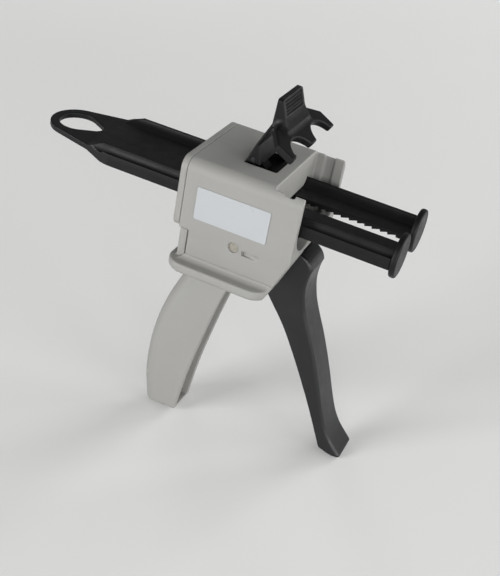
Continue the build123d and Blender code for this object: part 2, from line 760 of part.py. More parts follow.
def trigger_hollow():
    """Moulded hollow in the back of the finger piece, with two cross ribs left standing."""
    upper = TRIGGER_REAR[:-2]
    mouth = [(x - PAST, z) for x, z in upper]
    bed = [(x + HOLLOW_DEPTH, z) for x, z in upper]
    half = TRIGGER_HALF - TRIGGER_WALL
    hollow = across(polygon(*mouth, *bed[::-1]), -half, half)
    for rib in (1, 2):
        z = upper[0][1] + rib / 3 * (upper[-1][1] - upper[0][1])
        hollow -= block(0, SPACE, -half, half, z - RIB_THICK / 2, z + RIB_THICK / 2)
    return hollow


def trigger():
    piece = finger_piece() + trigger_arm()
    piece -= block(
        PIVOT_X - 2 * BOSS_R, PIVOT_X + BOSS_R + ARM_GAP, -EAR_GAP, EAR_GAP,
        PIVOT_Z - 2 * BOSS_R, PIVOT_Z + BOSS_R,
    )
    piece -= trigger_hollow()
    piece -= bore_across(PIVOT_X, PIVOT_Z, PIN_R + RUN)
    piece -= bore_across(DRIVE_X, DRIVE_Z, PAWL_PIN_R + SEAT)
    return piece - below_floor(0)


def trigger_pin():
    end = BODY_HALF - LOWER_SET_IN - PIN_SINK
    return disc_across(PIVOT_X, PIVOT_Z, PIN_R, -end, end)


def trigger_washers():
    """Washers on the pin, between the trigger and the cheeks."""
    washer = disc_across(PIVOT_X, PIVOT_Z, WASHER_R, TRIGGER_HALF + RUN, CHEEK_GAP - RUN)
    return both_sides(washer) - bore_across(PIVOT_X, PIVOT_Z, PIN_R + SEAT)


def trigger_spring():
    """Torsion spring round the pin, with one leg on the arm and one on the ledge."""
    inner = PIN_R + SPRING_GAP
    outer = inner + 2 * SPRING_WIRE
    coil = disc_across(PIVOT_X, PIVOT_Z, outer, -SPRING_SIDE, 0)
    coil -= bore_across(PIVOT_X, PIVOT_Z, inner)
    arm_x = PIVOT_X + BOSS_R + ARM_GAP - SPRING_REST
    front_leg = polygon(
        (PIVOT_X, PIVOT_Z - inner), (arm_x, PIVOT_Z - inner),
        (arm_x, PIVOT_Z - inner - SPRING_WIRE), (PIVOT_X, PIVOT_Z - inner - SPRING_WIRE),
    )
    foot_x = SLOT_BACK - SPRING_FOOT
    foot_z = LEDGE_TOP + FOOT_REST
    rear_leg = polygon(
        (PIVOT_X - outer, PIVOT_Z), (PIVOT_X - outer + SPRING_WIRE, PIVOT_Z),
        (foot_x + SPRING_WIRE, foot_z), (foot_x, foot_z),
    )
    coil += across(front_leg, -SPRING_WIRE, 0)
    return coil + across(rear_leg, -SPRING_SIDE, -SPRING_SIDE + SPRING_WIRE)


def drive_pawl_spring():
    """Leaf that stands on the trigger pin and lifts the drive pawl."""
    base = PIVOT_Z + PIN_R + RUN
    top = DRIVE_Z - PAWL_HUB_R - LEAF_REST
    leaf = polygon(
        (PIVOT_X - LEAF_FOOT, base), (PIVOT_X + LEAF_FOOT, base), (PIVOT_X + LEAF_FOOT, base + LEAF),
        (PIVOT_X - LEAF_KNEE, base + LEAF), (PIVOT_X + LEAF_KNEE, top), (PIVOT_X - LEAF_KNEE, top),
        (PIVOT_X - LEAF_FOOT, base + LEAF),
    )
    return across(leaf, LEAF_SIDE, SPRING_SIDE)


def pawl_return_spring():
    """Coil between the release lever's hub and the holding pawl's hub, as one plain plug."""
    x = (HOLD_X + LEVER_X) / 2 + RETURN_SHIFT
    low = LEVER_Z + LEVER_HUB_R + LEAF_REST
    top = HOLD_Z - PAWL_HUB_R + LEAF_REST
    return Pos(x, 0, (low + top) / 2) * Cylinder(RETURN_R, top - low)


def brake_spring():
    """Leaf across the cheeks that rubs under the plunger's plates."""
    high = PLATE_BOTTOM - BRAKE_REST
    rise = RACK_OUT + BRAKE_SIDE
    fall = CHEEK_GAP - BRAKE_SIDE
    skew = LEAF / 4
    half = polygon(
        (0, CHEEK_TOP), (rise, CHEEK_TOP), (rise + BRAKE_SLOPE, high - LEAF),
        (fall - BRAKE_SLOPE, high - LEAF), (fall, CHEEK_TOP), (CHEEK_OUT, CHEEK_TOP),
        (CHEEK_OUT, CHEEK_TOP + LEAF), (fall + skew, CHEEK_TOP + LEAF),
        (fall - BRAKE_SLOPE + skew, high), (rise + BRAKE_SLOPE - skew, high),
        (rise - skew, CHEEK_TOP + LEAF), (0, CHEEK_TOP + LEAF),
    )
    middle = (HOLD_X + HOLD_REACH + DRIVE_X - PAWL_HUB_R) / 2
    back = middle - BRAKE_LENGTH / 2
    return along_x(half + mirror(half, about=Plane.YZ), back, back + BRAKE_LENGTH)


def pawl(x, z, reach):
    """Pawl on a hub at x and z, with a tooth that points forward and up at the rack."""
    tip_x = x + reach
    outline = polygon(
        (x, z + PAWL_HUB_R), (tip_x - PAWL_NOSE, PAWL_TIP), (tip_x, PAWL_TIP),
        (tip_x, PAWL_TIP - PAWL_NOSE), (x, z - PAWL_HUB_R),
    )
    piece = across(outline, -PAWL_HALF, PAWL_HALF)
    return piece + disc_across(x, z, PAWL_HUB_R, -PAWL_HALF, PAWL_HALF)


def drive_pawl():
    return pawl(DRIVE_X, DRIVE_Z, DRIVE_REACH) - bore_across(DRIVE_X, DRIVE_Z, PAWL_PIN_R + RUN)


def drive_pawl_pin():
    return disc_across(DRIVE_X, DRIVE_Z, PAWL_PIN_R, -TRIGGER_HALF, TRIGGER_HALF)


def holding_pawl():
    """Pawl that holds the plunger back, with a tail over the release lever's finger."""
    tail = polygon(
        (HOLD_X, HOLD_Z + PAWL_PIN_R), (TAIL_X - TAIL_HALF, TAIL_Z + TAIL_THICK),
        (TAIL_X - TAIL_HALF, TAIL_Z), (TAIL_X + TAIL_HALF, TAIL_Z), (HOLD_X, HOLD_Z - PAWL_HUB_R),
    )
    piece = pawl(HOLD_X, HOLD_Z, HOLD_REACH) + across(tail, -PAWL_HALF, PAWL_HALF)
    return piece - bore_across(HOLD_X, HOLD_Z, PAWL_PIN_R + RUN)


def holding_pawl_pin():
    return disc_across(HOLD_X, HOLD_Z, PAWL_PIN_R, -CHEEK_OUT, CHEEK_OUT)


def release_lever():
    """Thumb lever through the rear block, with a finger under the holding pawl's tail."""
    top = LEVER_Z + LEVER_RISE
    low = top - LEVER_THICK
    foot = low + LEVER_BEVEL / 2
    arm = polygon(
        (LEVER_X, top), (LEVER_BEVEL - LEVER_REACH, top), (-LEVER_REACH, top - LEVER_BEVEL),
        (-LEVER_REACH, foot), (LEVER_X, low),
    )
    finger_top = TAIL_Z - FINGER_REST
    finger = polygon(
        (TAIL_X - TAIL_HALF, foot), (TAIL_X - TAIL_HALF, finger_top),
        (TAIL_X + FINGER_TIP, finger_top), (TAIL_X + FINGER_FOOT, foot),
    )
    lever = across(arm, -LEVER_HALF, LEVER_HALF)
    lever += disc_across(LEVER_X, LEVER_Z, LEVER_HUB_R, -LEVER_HALF, LEVER_HALF)
    lever += across(finger, -LEVER_HALF / 2, LEVER_HALF / 2)
    return lever - bore_across(LEVER_X, LEVER_Z, LEVER_PIN_R + RUN)


def release_lever_pin():
    return disc_across(LEVER_X, LEVER_Z, LEVER_PIN_R, -CHEEK_OUT, CHEEK_OUT)


# Cartridge clip

def clip_fork():
    """Fork plate with two arches that drop over the barrels."""
    plate = polygon(
        (-FORK_OUT, FORK_TIP), (-FORK_OUT, FORK_SHOULDER), (-FORK_CROWN, FORK_TOP),
        (FORK_CROWN, FORK_TOP), (FORK_OUT, FORK_SHOULDER), (FORK_OUT, FORK_TIP),
    )
    arch = Pos(ARCH_CENTRE, ARCH_HEIGHT) * Circle(ARCH_R)
    plate -= arch + mirror(arch, about=Plane.YZ)
    return along_x(plate, FORK_BACK, FORK_FRONT)


def clip_profile():
    """Closed side profile: gusset at the hinge, thin plate, and the thick-footed thumb tab."""
    crest = (FORK_BACK + CREST_IN, FORK_TOP + CREST_RISE)
    heel = (HINGE_X - CLIP_HEEL_X, HINGE_Z + CLIP_HEEL_Z)
    gusset_x = HINGE_X + GUSSET_LENGTH
    share = (gusset_x - heel[0]) / (crest[0] - heel[0])
    crown_z = heel[1] + share * (crest[1] - heel[1]) + CLIP_CROWN
    root_z = FORK_TOP - FORK_ROOT
    return polygon(
        heel, (gusset_x, crown_z), crest, (TAB_TIP_X, TAB_TIP_Z),
        (TAB_TIP_X + TAB_LEAN, TAB_TIP_Z - TAB_TIP_THICK), (FORK_FRONT + TAB_FOOT, FORK_TOP),
        (FORK_FRONT + TAB_HEEL, root_z), (FORK_BACK, root_z), (FORK_BACK, crest[1] - CLIP_PLATE),
        (gusset_x, crown_z - CLIP_PLATE),
        (HINGE_X + NOSE_BEVEL, HINGE_Z - CLIP_NOSE + NOSE_BEVEL), (HINGE_X, HINGE_Z - CLIP_NOSE),
    )


def clip_ear_slots():
    """Slots that the bracket's ears turn in, open to the rear and below."""
    inner = CLIP_INNER - EAR_THICK - 2 * EAR_SIDE_GAP
    room = EAR_R + CLIP_GAP
    back_x = HINGE_X - EAR_SWING
    front_x = HINGE_X + EAR_FRONT
    low_z = HINGE_Z - EAR_SWING
    sweep = polygon(
        (front_x, HINGE_Z + room), (front_x, low_z), (back_x, low_z),
        (back_x, HINGE_Z + room / 2), (HINGE_X - room / 2, HINGE_Z + room),
    )
    slot = across(sweep, inner, CLIP_INNER) + disc_across(HINGE_X, HINGE_Z, room, inner, CLIP_INNER)
    return both_sides(slot)


def tab_grooves():
    """Grip grooves across the thumb side of the tab, evenly spaced between two margins."""
    top_x = TAB_TIP_X + TAB_LEAN
    top_z = TAB_TIP_Z - TAB_TIP_THICK
    foot_x = FORK_FRONT + TAB_FOOT
    half = CLIP_HALF - TAB_BORDER
    grooves = []
    for index in range(TAB_GROOVES):
        share = TAB_MARGIN + index * (1 - 2 * TAB_MARGIN) / max(1, TAB_GROOVES - 1)
        x = top_x + share * (foot_x - top_x)
        z = top_z + share * (FORK_TOP - top_z)
        grooves.append(disc_across(x, z, TAB_GROOVE_R, -half, half))
    return grooves


def cartridge_clip():
    """The clip swung open about its hinge."""
    clip = clip_fork() + across(clip_profile(), -CLIP_HALF, CLIP_HALF)
    clip -= clip_ear_slots()
    clip -= tab_grooves()
    clip -= bore_across(HINGE_X, HINGE_Z, CLIP_PIN_R + RUN)
    hinge = Pos(HINGE_X, 0, HINGE_Z)
    back = Pos(-HINGE_X, 0, -HINGE_Z)
    return hinge * Rot(0, -CLIP_OPEN, 0) * back * clip


def clip_bracket():
    """Hinge bracket under the top wall, with a rim in the opening and two ears."""
    low = BRACKET_TOP - BRACKET_DEPTH
    flange_half = BRACKET_HALF + BRACKET_FLANGE
    cup = block(
        BRACKET_BACK - BRACKET_FLANGE, BRACKET_FRONT + BRACKET_FLANGE,
        -flange_half, flange_half, low, BRACKET_TOP,
    )
    cup += block(
        BRACKET_BACK, BRACKET_FRONT, -BRACKET_HALF + SEAT, BRACKET_HALF - SEAT,
        BRACKET_TOP, BODY_TOP - BRACKET_RIM_DROP,
    )
    cup -= block(
        BRACKET_BACK + BRACKET_WALL, BRACKET_FRONT - BRACKET_WALL, -BRACKET_HALF, BRACKET_HALF,
        POCKET_FLOOR, BODY_TOP + PAST,
    )
    ear_out = CLIP_INNER - EAR_SIDE_GAP
    ear_in = ear_out - EAR_THICK
    ear = disc_across(HINGE_X, HINGE_Z, EAR_R, ear_in, ear_out)
    ear += block(HINGE_X - EAR_R, HINGE_X, ear_in, ear_out, low, HINGE_Z)
    return cup + both_sides(ear) - bore_across(HINGE_X, HINGE_Z, CLIP_PIN_R + SEAT)


def clip_pin():
    end = CLIP_HALF - CLIP_PIN_SINK
    return disc_across(HINGE_X, HINGE_Z, CLIP_PIN_R, -end, end)


def clip_detent():
    """Leaf spring in the bracket's pocket that the clip's nose rubs on as it closes."""
    low = POCKET_FLOOR
    high = HINGE_Z - CLIP_NOSE - DETENT_REST
    back = BRACKET_BACK + BRACKET_WALL + DETENT_END_GAP
    front = BRACKET_FRONT - BRACKET_WALL - DETENT_END_GAP
    crest_end = HINGE_X + DETENT_CREST
    ramp_end = crest_end + DETENT_RAMP
    skew = LEAF / 2
    leaf = polygon(
        (back, low), (back, low + LEAF), (back + skew, low + LEAF), (HINGE_X, high),
        (crest_end, high), (ramp_end, low + LEAF), (front, low + LEAF), (front, low),
        (ramp_end - skew, low), (crest_end - skew, high - LEAF), (HINGE_X + skew, high - LEAF),
        (back + DETENT_FOOT, low),
    )
    return across(leaf, -DETENT_HALF, DETENT_HALF)


# All pieces in the working frame

pieces = {
    "body_housing": body_housing(),
    "rear_cover": rear_cover(),
    "rear_cover_screws": rear_cover_screws(),
    "label_plate": label_plate(),
    "grip_frame": grip_frame(),
    "frame_screws": frame_screws(),
    "plunger_guides": guide_strips(),
    "plunger_frame": plunger_frame(),
    "left_pusher_disc": pusher_disc(1),
    "right_pusher_disc": pusher_disc(-1),
    "trigger": trigger(),
    "trigger_pin": trigger_pin(),
    "trigger_washers": trigger_washers(),
    "trigger_spring": trigger_spring(),
    "drive_pawl_spring": drive_pawl_spring(),
    "pawl_return_spring": pawl_return_spring(),
    "brake_spring": brake_spring(),
    "drive_pawl": drive_pawl(),
    "drive_pawl_pin": drive_pawl_pin(),
    "holding_pawl": holding_pawl(),
    "holding_pawl_pin": holding_pawl_pin(),
    "release_lever": release_lever(),
    "release_lever_pin": release_lever_pin(),
    "clip_bracket": clip_bracket(),
    "cartridge_clip": cartridge_clip(),
    "clip_pin": clip_pin(),
    "clip_detent": clip_detent(),
}

# Tip the tool nose down and stand it on the floor, centred on its outline
tipped = {name: Rot(0, PITCH, 0) * shape for name, shape in pieces.items()}
boxes = [shape.bounding_box() for shape in tipped.values()]
middle_x = (min(box.min.X for box in boxes) + max(box.max.X for box in boxes)) / 2
middle_y = (min(box.min.Y for box in boxes) + max(box.max.Y for box in boxes)) / 2
lowest = min(box.min.Z for box in boxes)
to_origin = Pos(-middle_x, -middle_y, -lowest)
print("shift after tipping", to_origin.position)
os.makedirs("parts", exist_ok=True)
for name, shape in tipped.items():
    export_step(to_origin * shape, f"parts/{name}.step")
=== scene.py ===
import bpy
import json
import math
import numpy as np
from mathutils import Matrix, Vector


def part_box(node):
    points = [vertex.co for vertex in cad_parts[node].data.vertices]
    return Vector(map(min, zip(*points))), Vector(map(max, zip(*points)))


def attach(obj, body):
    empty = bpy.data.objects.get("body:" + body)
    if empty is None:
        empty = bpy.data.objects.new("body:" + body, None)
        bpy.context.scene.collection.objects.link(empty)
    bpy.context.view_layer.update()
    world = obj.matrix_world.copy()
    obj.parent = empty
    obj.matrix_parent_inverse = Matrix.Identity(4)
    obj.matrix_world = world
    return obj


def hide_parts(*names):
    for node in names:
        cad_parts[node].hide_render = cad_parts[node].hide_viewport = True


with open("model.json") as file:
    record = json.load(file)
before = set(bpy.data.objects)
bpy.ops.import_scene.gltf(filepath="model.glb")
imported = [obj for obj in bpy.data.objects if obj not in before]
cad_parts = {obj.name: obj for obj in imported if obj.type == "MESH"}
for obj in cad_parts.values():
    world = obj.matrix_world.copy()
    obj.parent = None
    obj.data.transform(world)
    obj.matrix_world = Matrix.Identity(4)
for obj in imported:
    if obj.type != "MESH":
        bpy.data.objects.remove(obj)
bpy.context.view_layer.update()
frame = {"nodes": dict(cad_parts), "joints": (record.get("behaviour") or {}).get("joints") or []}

# Place of the shapes. They are worked out in the tool's own frame, in millimetres:
# x forward along the plunger, y to the left, z up. The plunger's axis and the trigger
# pin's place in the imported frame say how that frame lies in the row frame.
MM = 0.001
PIVOT_X = 28.0
PIVOT_Z = -16.5
slide = next(joint for joint in frame["joints"] if joint["name"] == "plunger_slide")
TIP_COS = slide["axis"][0]
TIP_SIN = -slide["axis"][2]
pin_middle = np.mean(np.array(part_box("trigger_pin"), float), 0) / MM
SHIFT_X = pin_middle[0] - PIVOT_X * TIP_COS - PIVOT_Z * TIP_SIN
SHIFT_Z = pin_middle[2] + PIVOT_X * TIP_SIN - PIVOT_Z * TIP_COS


def turn_row(vectors):
    """Directions of the tool's own frame in the row frame."""
    v = np.asarray(vectors, float)
    x = v[:, 0] * TIP_COS + v[:, 2] * TIP_SIN
    z = v[:, 2] * TIP_COS - v[:, 0] * TIP_SIN
    return np.stack([x, v[:, 1], z], 1)


def to_row(points):
    """Points of the tool's own frame, in millimetres, as row-frame metres."""
    return (turn_row(points) + [SHIFT_X, 0, SHIFT_Z]) * MM


def floor_side(x, z, lift=0.0):
    """Height above the floor, less a lift."""
    return z * TIP_COS - x * TIP_SIN + SHIFT_Z - lift


# Distance fields: negative inside. Each takes arrays that broadcast against each other.
FAR = 1e9
TINY = 1e-12

def polygon(u, v, points):
    """Signed distance to a closed polygon."""
    u, v = np.broadcast_arrays(np.asarray(u, np.float32), np.asarray(v, np.float32))
    best = np.full(u.shape, FAR, np.float32)
    side = np.ones(u.shape, np.float32)
    for i in range(len(points)):
        ax, ay = points[i]
        bx, by = points[i - 1]
        ex = bx - ax
        ey = by - ay
        length = ex * ex + ey * ey
        if length < TINY:
            continue
        wx = u - ax
        wy = v - ay
        t = np.clip((wx * ex + wy * ey) / length, 0, 1)
        best = np.minimum(best, (wx - ex * t) ** 2 + (wy - ey * t) ** 2)
        above = v >= ay
        under = v < by
        left = ex * wy > ey * wx
        flip = (above & under & left) | (~above & ~under & ~left)
        side = np.where(flip, -side, side)
    return side * np.sqrt(best)


def span(t, low, high):
    """Slab between two values."""
    return np.maximum(low - t, t - high)


def join(a, b, r=0.0):
    """Union with a hollow fillet of radius r."""
    if r <= 0:
        return np.minimum(a, b)
    u = np.maximum(r - a, 0)
    v = np.maximum(r - b, 0)
    return np.maximum(r, np.minimum(a, b)) - np.sqrt(u * u + v * v)


def both(a, b, r=0.0):
    """Intersection with a rounded edge of radius r."""
    if r <= 0:
        return np.maximum(a, b)
    u = np.maximum(r + a, 0)
    v = np.maximum(r + b, 0)
    return np.minimum(-r, np.maximum(a, b)) + np.sqrt(u * u + v * v)


def less(a, b, r=0.0):
    """a with b taken out, its new edge rounded."""
    return both(a, -b, r)


def circle(u, v, cu, cv, r):
    """Round of radius r."""
    return np.sqrt((u - cu) ** 2 + (v - cv) ** 2) - r


def rounded_box(x, y, z, x0, x1, y0, y1, z0, z1, r):
    """Box with all its edges rounded."""
    qx = np.abs(x - (x0 + x1) / 2) - (x1 - x0) / 2 + r
    qy = np.abs(y - (y0 + y1) / 2) - (y1 - y0) / 2 + r
    qz = np.abs(z - (z0 + z1) / 2) - (z1 - z0) / 2 + r
    out = np.sqrt(np.maximum(qx, 0) ** 2 + np.maximum(qy, 0) ** 2 + np.maximum(qz, 0) ** 2)
    return out + np.minimum(np.maximum(qx, np.maximum(qy, qz)), 0) - r


def hull(u, v, cu, r, nose_u, nose_r):
    """Two rounds on the middle line and the straight sides that touch them both."""
    reach = nose_u - cu
    sine = (r - nose_r) / reach
    cosine = math.sqrt(1 - sine * sine)
    flank = (u - cu) * sine + v * cosine - r
    back = cu + r * sine
    front = nose_u + nose_r * sine
    middle = np.maximum(flank, span(u, back, front))
    rounds = np.minimum(circle(u, v, cu, 0, r), circle(u, v, nose_u, 0, nose_r))
    return np.minimum(rounds, middle)


def ease(t):
    """Soft step from 0 to 1."""
    t = np.clip(t, 0, 1)
    return t * t * (3 - 2 * t)


def smooth_line(points, steps=6):
    """Smooth curve through the points."""
    p = [np.array(q, float) for q in points]
    ends = [2 * p[0] - p[1]] + p + [2 * p[-1] - p[-2]]
    out = []
    for i in range(1, len(ends) - 2):
        a, b, c, d = ends[i - 1:i + 3]
        for k in range(steps):
            t = k / steps
            line = 2 * b + (c - a) * t
            bend = (2 * a - 5 * b + 4 * c - d) * t * t
            twist = (3 * b - a - 3 * c + d) * t ** 3
            out.append((line + bend + twist) / 2)
    out.append(p[-1])
    return [tuple(q) for q in out]


def arc_through(a, b, c, steps=8):
    """Arc of a circle from a through b to c."""
    squares = [p[0] ** 2 + p[1] ** 2 for p in (a, b, c)]
    twice = 2 * (a[0] * (b[1] - c[1]) + b[0] * (c[1] - a[1]) + c[0] * (a[1] - b[1]))
    u = (squares[0] * (b[1] - c[1]) + squares[1] * (c[1] - a[1]) + squares[2] * (a[1] - b[1])) / twice
    v = (squares[0] * (c[0] - b[0]) + squares[1] * (a[0] - c[0]) + squares[2] * (b[0] - a[0])) / twice
    radius = math.hypot(a[0] - u, a[1] - v)
    start, middle, end = [math.atan2(p[1] - v, p[0] - u) for p in (a, b, c)]
    sweep = (end - start) % math.tau
    if (middle - start) % math.tau > sweep:
        sweep -= math.tau
    turns = [start + sweep * k / steps for k in range(steps + 1)]
    return [(u + radius * math.cos(t), v + radius * math.sin(t)) for t in turns]


# Meshes. A grid reaches a few cells past the shape's bounds on every side.
NEAR_ZERO = 1e-5
CELLS_UNDER = 2
CELLS_OVER = 3


def surface_of(field, low, high, step):
    """Mesh of a field's zero surface: points, four-sided faces and normals."""
    step = np.broadcast_to(np.asarray(step, float), (3,))
    start = [low[i] - CELLS_UNDER * step[i] for i in range(3)]
    stop = [high[i] + CELLS_OVER * step[i] for i in range(3)]
    axes = [np.arange(start[i], stop[i], step[i]) for i in range(3)]
    x = axes[0][:, None, None].astype(np.float32)
    y = axes[1][None, :, None].astype(np.float32)
    z = axes[2][None, None, :].astype(np.float32)
    shape = tuple(len(a) for a in axes)
    f = np.ascontiguousarray(np.broadcast_to(field(x, y, z), shape), np.float32)
    f = np.where(np.abs(f) < NEAR_ZERO, np.float32(NEAR_ZERO), f)
    inside = f < 0
    corners = [(i, j, k) for i in (0, 1) for j in (0, 1) for k in (0, 1)]

    def at(a, c):
        ends = [a.shape[i] - 1 + c[i] for i in range(3)]
        return a[c[0]:ends[0], c[1]:ends[1], c[2]:ends[2]]

    count = sum(at(inside, c).astype(np.int8) for c in corners)
    mixed = (count > 0) & (count < len(corners))
    number = np.full(mixed.shape, -1, np.int64)
    number[mixed] = np.arange(mixed.sum())
    where = np.argwhere(mixed)
    value = {c: at(f, c)[mixed] for c in corners}
    total = np.zeros((len(where), 3))
    hits = np.zeros(len(where))
    slope = np.zeros((len(where), 3))
    for a in corners:
        for axis in range(3):
            if a[axis]:
                continue
            b = tuple(1 if i == axis else a[i] for i in range(3))
            fa = value[a]
            fb = value[b]
            slope[:, axis] += (fb - fa) / step[axis]
            cross = (fa < 0) != (fb < 0)
            place = np.array(a, float)[None, :].repeat(len(where), 0)
            place[:, axis] = np.where(cross, fa / np.where(cross, fa - fb, 1), 0)
            total[cross] += place[cross]
            hits += cross
    local = total / hits[:, None]
    points = np.stack([axes[i][where[:, i]] + local[:, i] * step[i] for i in range(3)], 1)
    slope /= np.maximum(np.linalg.norm(slope, axis=1, keepdims=True), TINY)
    faces = []
    for axis in range(3):
        one, two = [(1, 2), (2, 0), (0, 1)][axis]
        start = [slice(1, -1)] * 3
        start[axis] = slice(0, -1)
        end = list(start)
        end[axis] = slice(1, None)
        a = inside[tuple(start)]
        b = inside[tuple(end)]
        for crossing, order in ((a & ~b, 1), (~a & b, -1)):
            spot = np.argwhere(crossing) + 1
            spot[:, axis] -= 1
            ring = []
            for d1, d2 in ((0, 0), (1, 0), (1, 1), (0, 1)):
                s = spot.copy()
                s[:, one] -= d1
                s[:, two] -= d2
                ring.append(number[s[:, 0], s[:, 1], s[:, 2]])
            faces.append(np.stack(ring[::order], 1))
    return points, np.concatenate(faces), slope


def make_mesh(name, points, faces, normals):
    """Object with a mesh of row-frame points, its faces and its normals."""
    mesh = bpy.data.meshes.new(name)
    mesh.vertices.add(len(points))
    mesh.vertices.foreach_set("co", np.asarray(points, np.float32).ravel())
    count = len(faces)
    width = faces.shape[1]
    mesh.loops.add(count * width)
    mesh.loops.foreach_set("vertex_index", faces.astype(np.int32).ravel())
    mesh.polygons.add(count)
    mesh.polygons.foreach_set("loop_start", np.arange(0, count * width, width, dtype=np.int32))
    mesh.polygons.foreach_set("use_smooth", np.ones(count, bool))
    mesh.update(calc_edges=True)
    mesh.normals_split_custom_set_from_vertices([tuple(n) for n in normals])
    piece = bpy.data.objects.new(name, mesh)
    bpy.context.scene.collection.objects.link(piece)
    return piece


def moulded(name, node, field, low, high, step, material, body, move=None):
    """Piece that stands for a CAD node: meshed from its field, placed, dressed and tied."""
    points, faces, normals = surface_of(field, low, high, step)
    if move is not None:
        points, normals = move(points, normals)
    piece = make_mesh(name, to_row(points), faces, turn_row(normals))
    piece.data.materials.append(material)
    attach(piece, body)
    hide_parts(node)
    return piece


# Materials. A noise is given by its features per metre, its detail and its roughness.
TONE_NOISE = (28.0, 4.0, 0.55)
BLOTCH_NOISE = (160.0, 5.0, 0.6)
GRAIN_DETAIL = 2.0
GRAIN_ROUGH = 0.5
LINE_DETAIL = 3.0
LINE_ROUGH = 0.6
LINE_STRETCH = (1.0, 0.08, 1.0)
LINE_DEPTH = 0.00002
LINE_SHADE = 0.75
LINE_GLOSSIER = 0.08
LINE_DULLER = 0.12
DRIFT_LOW = 0.3
DRIFT_HIGH = 0.7
# Painted highlight along outer edges: the pointiness where it starts and where it is full, and how much
# paler its tone is
EDGE_STARTS = 0.53
EDGE_FULL = 0.62
EDGE_GAIN = 2
EDGE_LIFT = 0.02


def new_material(name):
    """Material with its node tree's nodes, links and shader."""
    material = bpy.data.materials.new(name)
    material.use_nodes = True
    nodes = material.node_tree.nodes
    return material, nodes, material.node_tree.links, nodes["Principled BSDF"]


def noise(nodes, links, scale, detail, rough, stretch=(1.0, 1.0, 1.0)):
    """Noise over the object, given in features per metre."""
    coords = nodes.new("ShaderNodeTexCoord")
    mapping = nodes.new("ShaderNodeMapping")
    texture = nodes.new("ShaderNodeTexNoise")
    mapping.inputs["Scale"].default_value = stretch
    texture.inputs["Scale"].default_value = scale
    texture.inputs["Detail"].default_value = detail
    texture.inputs["Roughness"].default_value = rough
    links.new(coords.outputs["Object"], mapping.inputs["Vector"])
    links.new(mapping.outputs["Vector"], texture.inputs["Vector"])
    return texture.outputs["Fac"]


def to_range(nodes, links, source, low, high, from_low, from_high):
    """A value carried from one range to another."""
    ranger = nodes.new("ShaderNodeMapRange")
    ranger.inputs["From Min"].default_value = from_low
    ranger.inputs["From Max"].default_value = from_high
    ranger.inputs["To Min"].default_value = low
    ranger.inputs["To Max"].default_value = high
    links.new(source, ranger.inputs["Value"])
    return ranger.outputs["Result"]


def two_tone(nodes, links, source, dark, light):
    """Colour that drifts between two tones."""
    ramp = nodes.new("ShaderNodeValToRGB")
    ramp.color_ramp.elements[0].position = DRIFT_LOW
    ramp.color_ramp.elements[0].color = (*dark, 1)
    ramp.color_ramp.elements[1].position = DRIFT_HIGH
    ramp.color_ramp.elements[1].color = (*light, 1)
    links.new(source, ramp.inputs["Fac"])
    return ramp.outputs["Color"]


def painted_edge_highlight(nodes, links, colour, light, edge_highlight):
    """Painted highlight: paler colour along outer edges, where the mesh is pointiest."""
    # the pointier the edge, the paler its tone: a painted highlight
    geometry = nodes.new("ShaderNodeNewGeometry")
    edge = to_range(nodes, links, geometry.outputs["Pointiness"], 0.0, edge_highlight, EDGE_STARTS, EDGE_FULL)
    mix = nodes.new("ShaderNodeMix")
    mix.data_type = "RGBA"
    mix.inputs["B"].default_value = (*[c * EDGE_GAIN + EDGE_LIFT for c in light], 1)
    links.new(edge, mix.inputs["Factor"])
    links.new(colour, mix.inputs["A"])
    return mix.outputs["Result"]


def relief(nodes, links, shader, source, depth):
    """Fine bump of a depth in metres."""
    bump = nodes.new("ShaderNodeBump")
    bump.inputs["Distance"].default_value = depth
    links.new(source, bump.inputs["Height"])
    links.new(bump.outputs["Normal"], shader.inputs["Normal"])


def plastic(name, dark, light, smoothest, roughest, grain, depth, specular=0.5, edge_highlight=0.0):
    """Moulded plastic: soft colour drift, fine grain, uneven gloss and a painted highlight along outer
    edges.
    """
    material, nodes, links, shader = new_material(name)
    colour = two_tone(nodes, links, noise(nodes, links, *TONE_NOISE), dark, light)
    # painted highlight along outer edges
    if edge_highlight > 0:
        colour = painted_edge_highlight(nodes, links, colour, light, edge_highlight)
    links.new(colour, shader.inputs["Base Color"])
    blotch = noise(nodes, links, *BLOTCH_NOISE)
    gloss = to_range(nodes, links, blotch, smoothest, roughest, DRIFT_LOW, DRIFT_HIGH)
    links.new(gloss, shader.inputs["Roughness"])
    relief(nodes, links, shader, noise(nodes, links, grain, GRAIN_DETAIL, GRAIN_ROUGH), depth)
    shader.inputs["Specular IOR Level"].default_value = specular
    return material


def metal(name, colour, rough, scale):
    """Turned steel with fine drawn lines."""
    material, nodes, links, shader = new_material(name)
    lines = noise(nodes, links, scale, LINE_DETAIL, LINE_ROUGH, LINE_STRETCH)
    dark = [c * LINE_SHADE for c in colour]
    links.new(two_tone(nodes, links, lines, dark, colour), shader.inputs["Base Color"])
    gloss = to_range(nodes, links, lines, rough - LINE_GLOSSIER, rough + LINE_DULLER, 0.0, 1.0)
    links.new(gloss, shader.inputs["Roughness"])
    relief(nodes, links, shader, lines, LINE_DEPTH)
    shader.inputs["Metallic"].default_value = 1.0
    return material


# Name, darker and paler tone, smoothest and roughest gloss, grain and its depth
# the last value of the first three is the strength of their painted highlight along outer edges
GREY = plastic(
    "grey_moulded", (0.252, 0.249, 0.238), (0.264, 0.261, 0.25), 0.46, 0.6, 2600.0, 0.00002,
    specular=0.4, edge_highlight=0.4,
)
BLACK = plastic(
    "black_moulded", (0.003, 0.0032, 0.0042), (0.0045, 0.0048, 0.006), 0.3, 0.44, 3200.0, 0.000025,
    specular=0.5, edge_highlight=0.3,
)
RUBBED = plastic(
    "black_rubbed", (0.0025, 0.0025, 0.0029), (0.0045, 0.0045, 0.005), 0.34, 0.54, 2400.0, 0.00003,
    specular=0.25, edge_highlight=0.15,
)
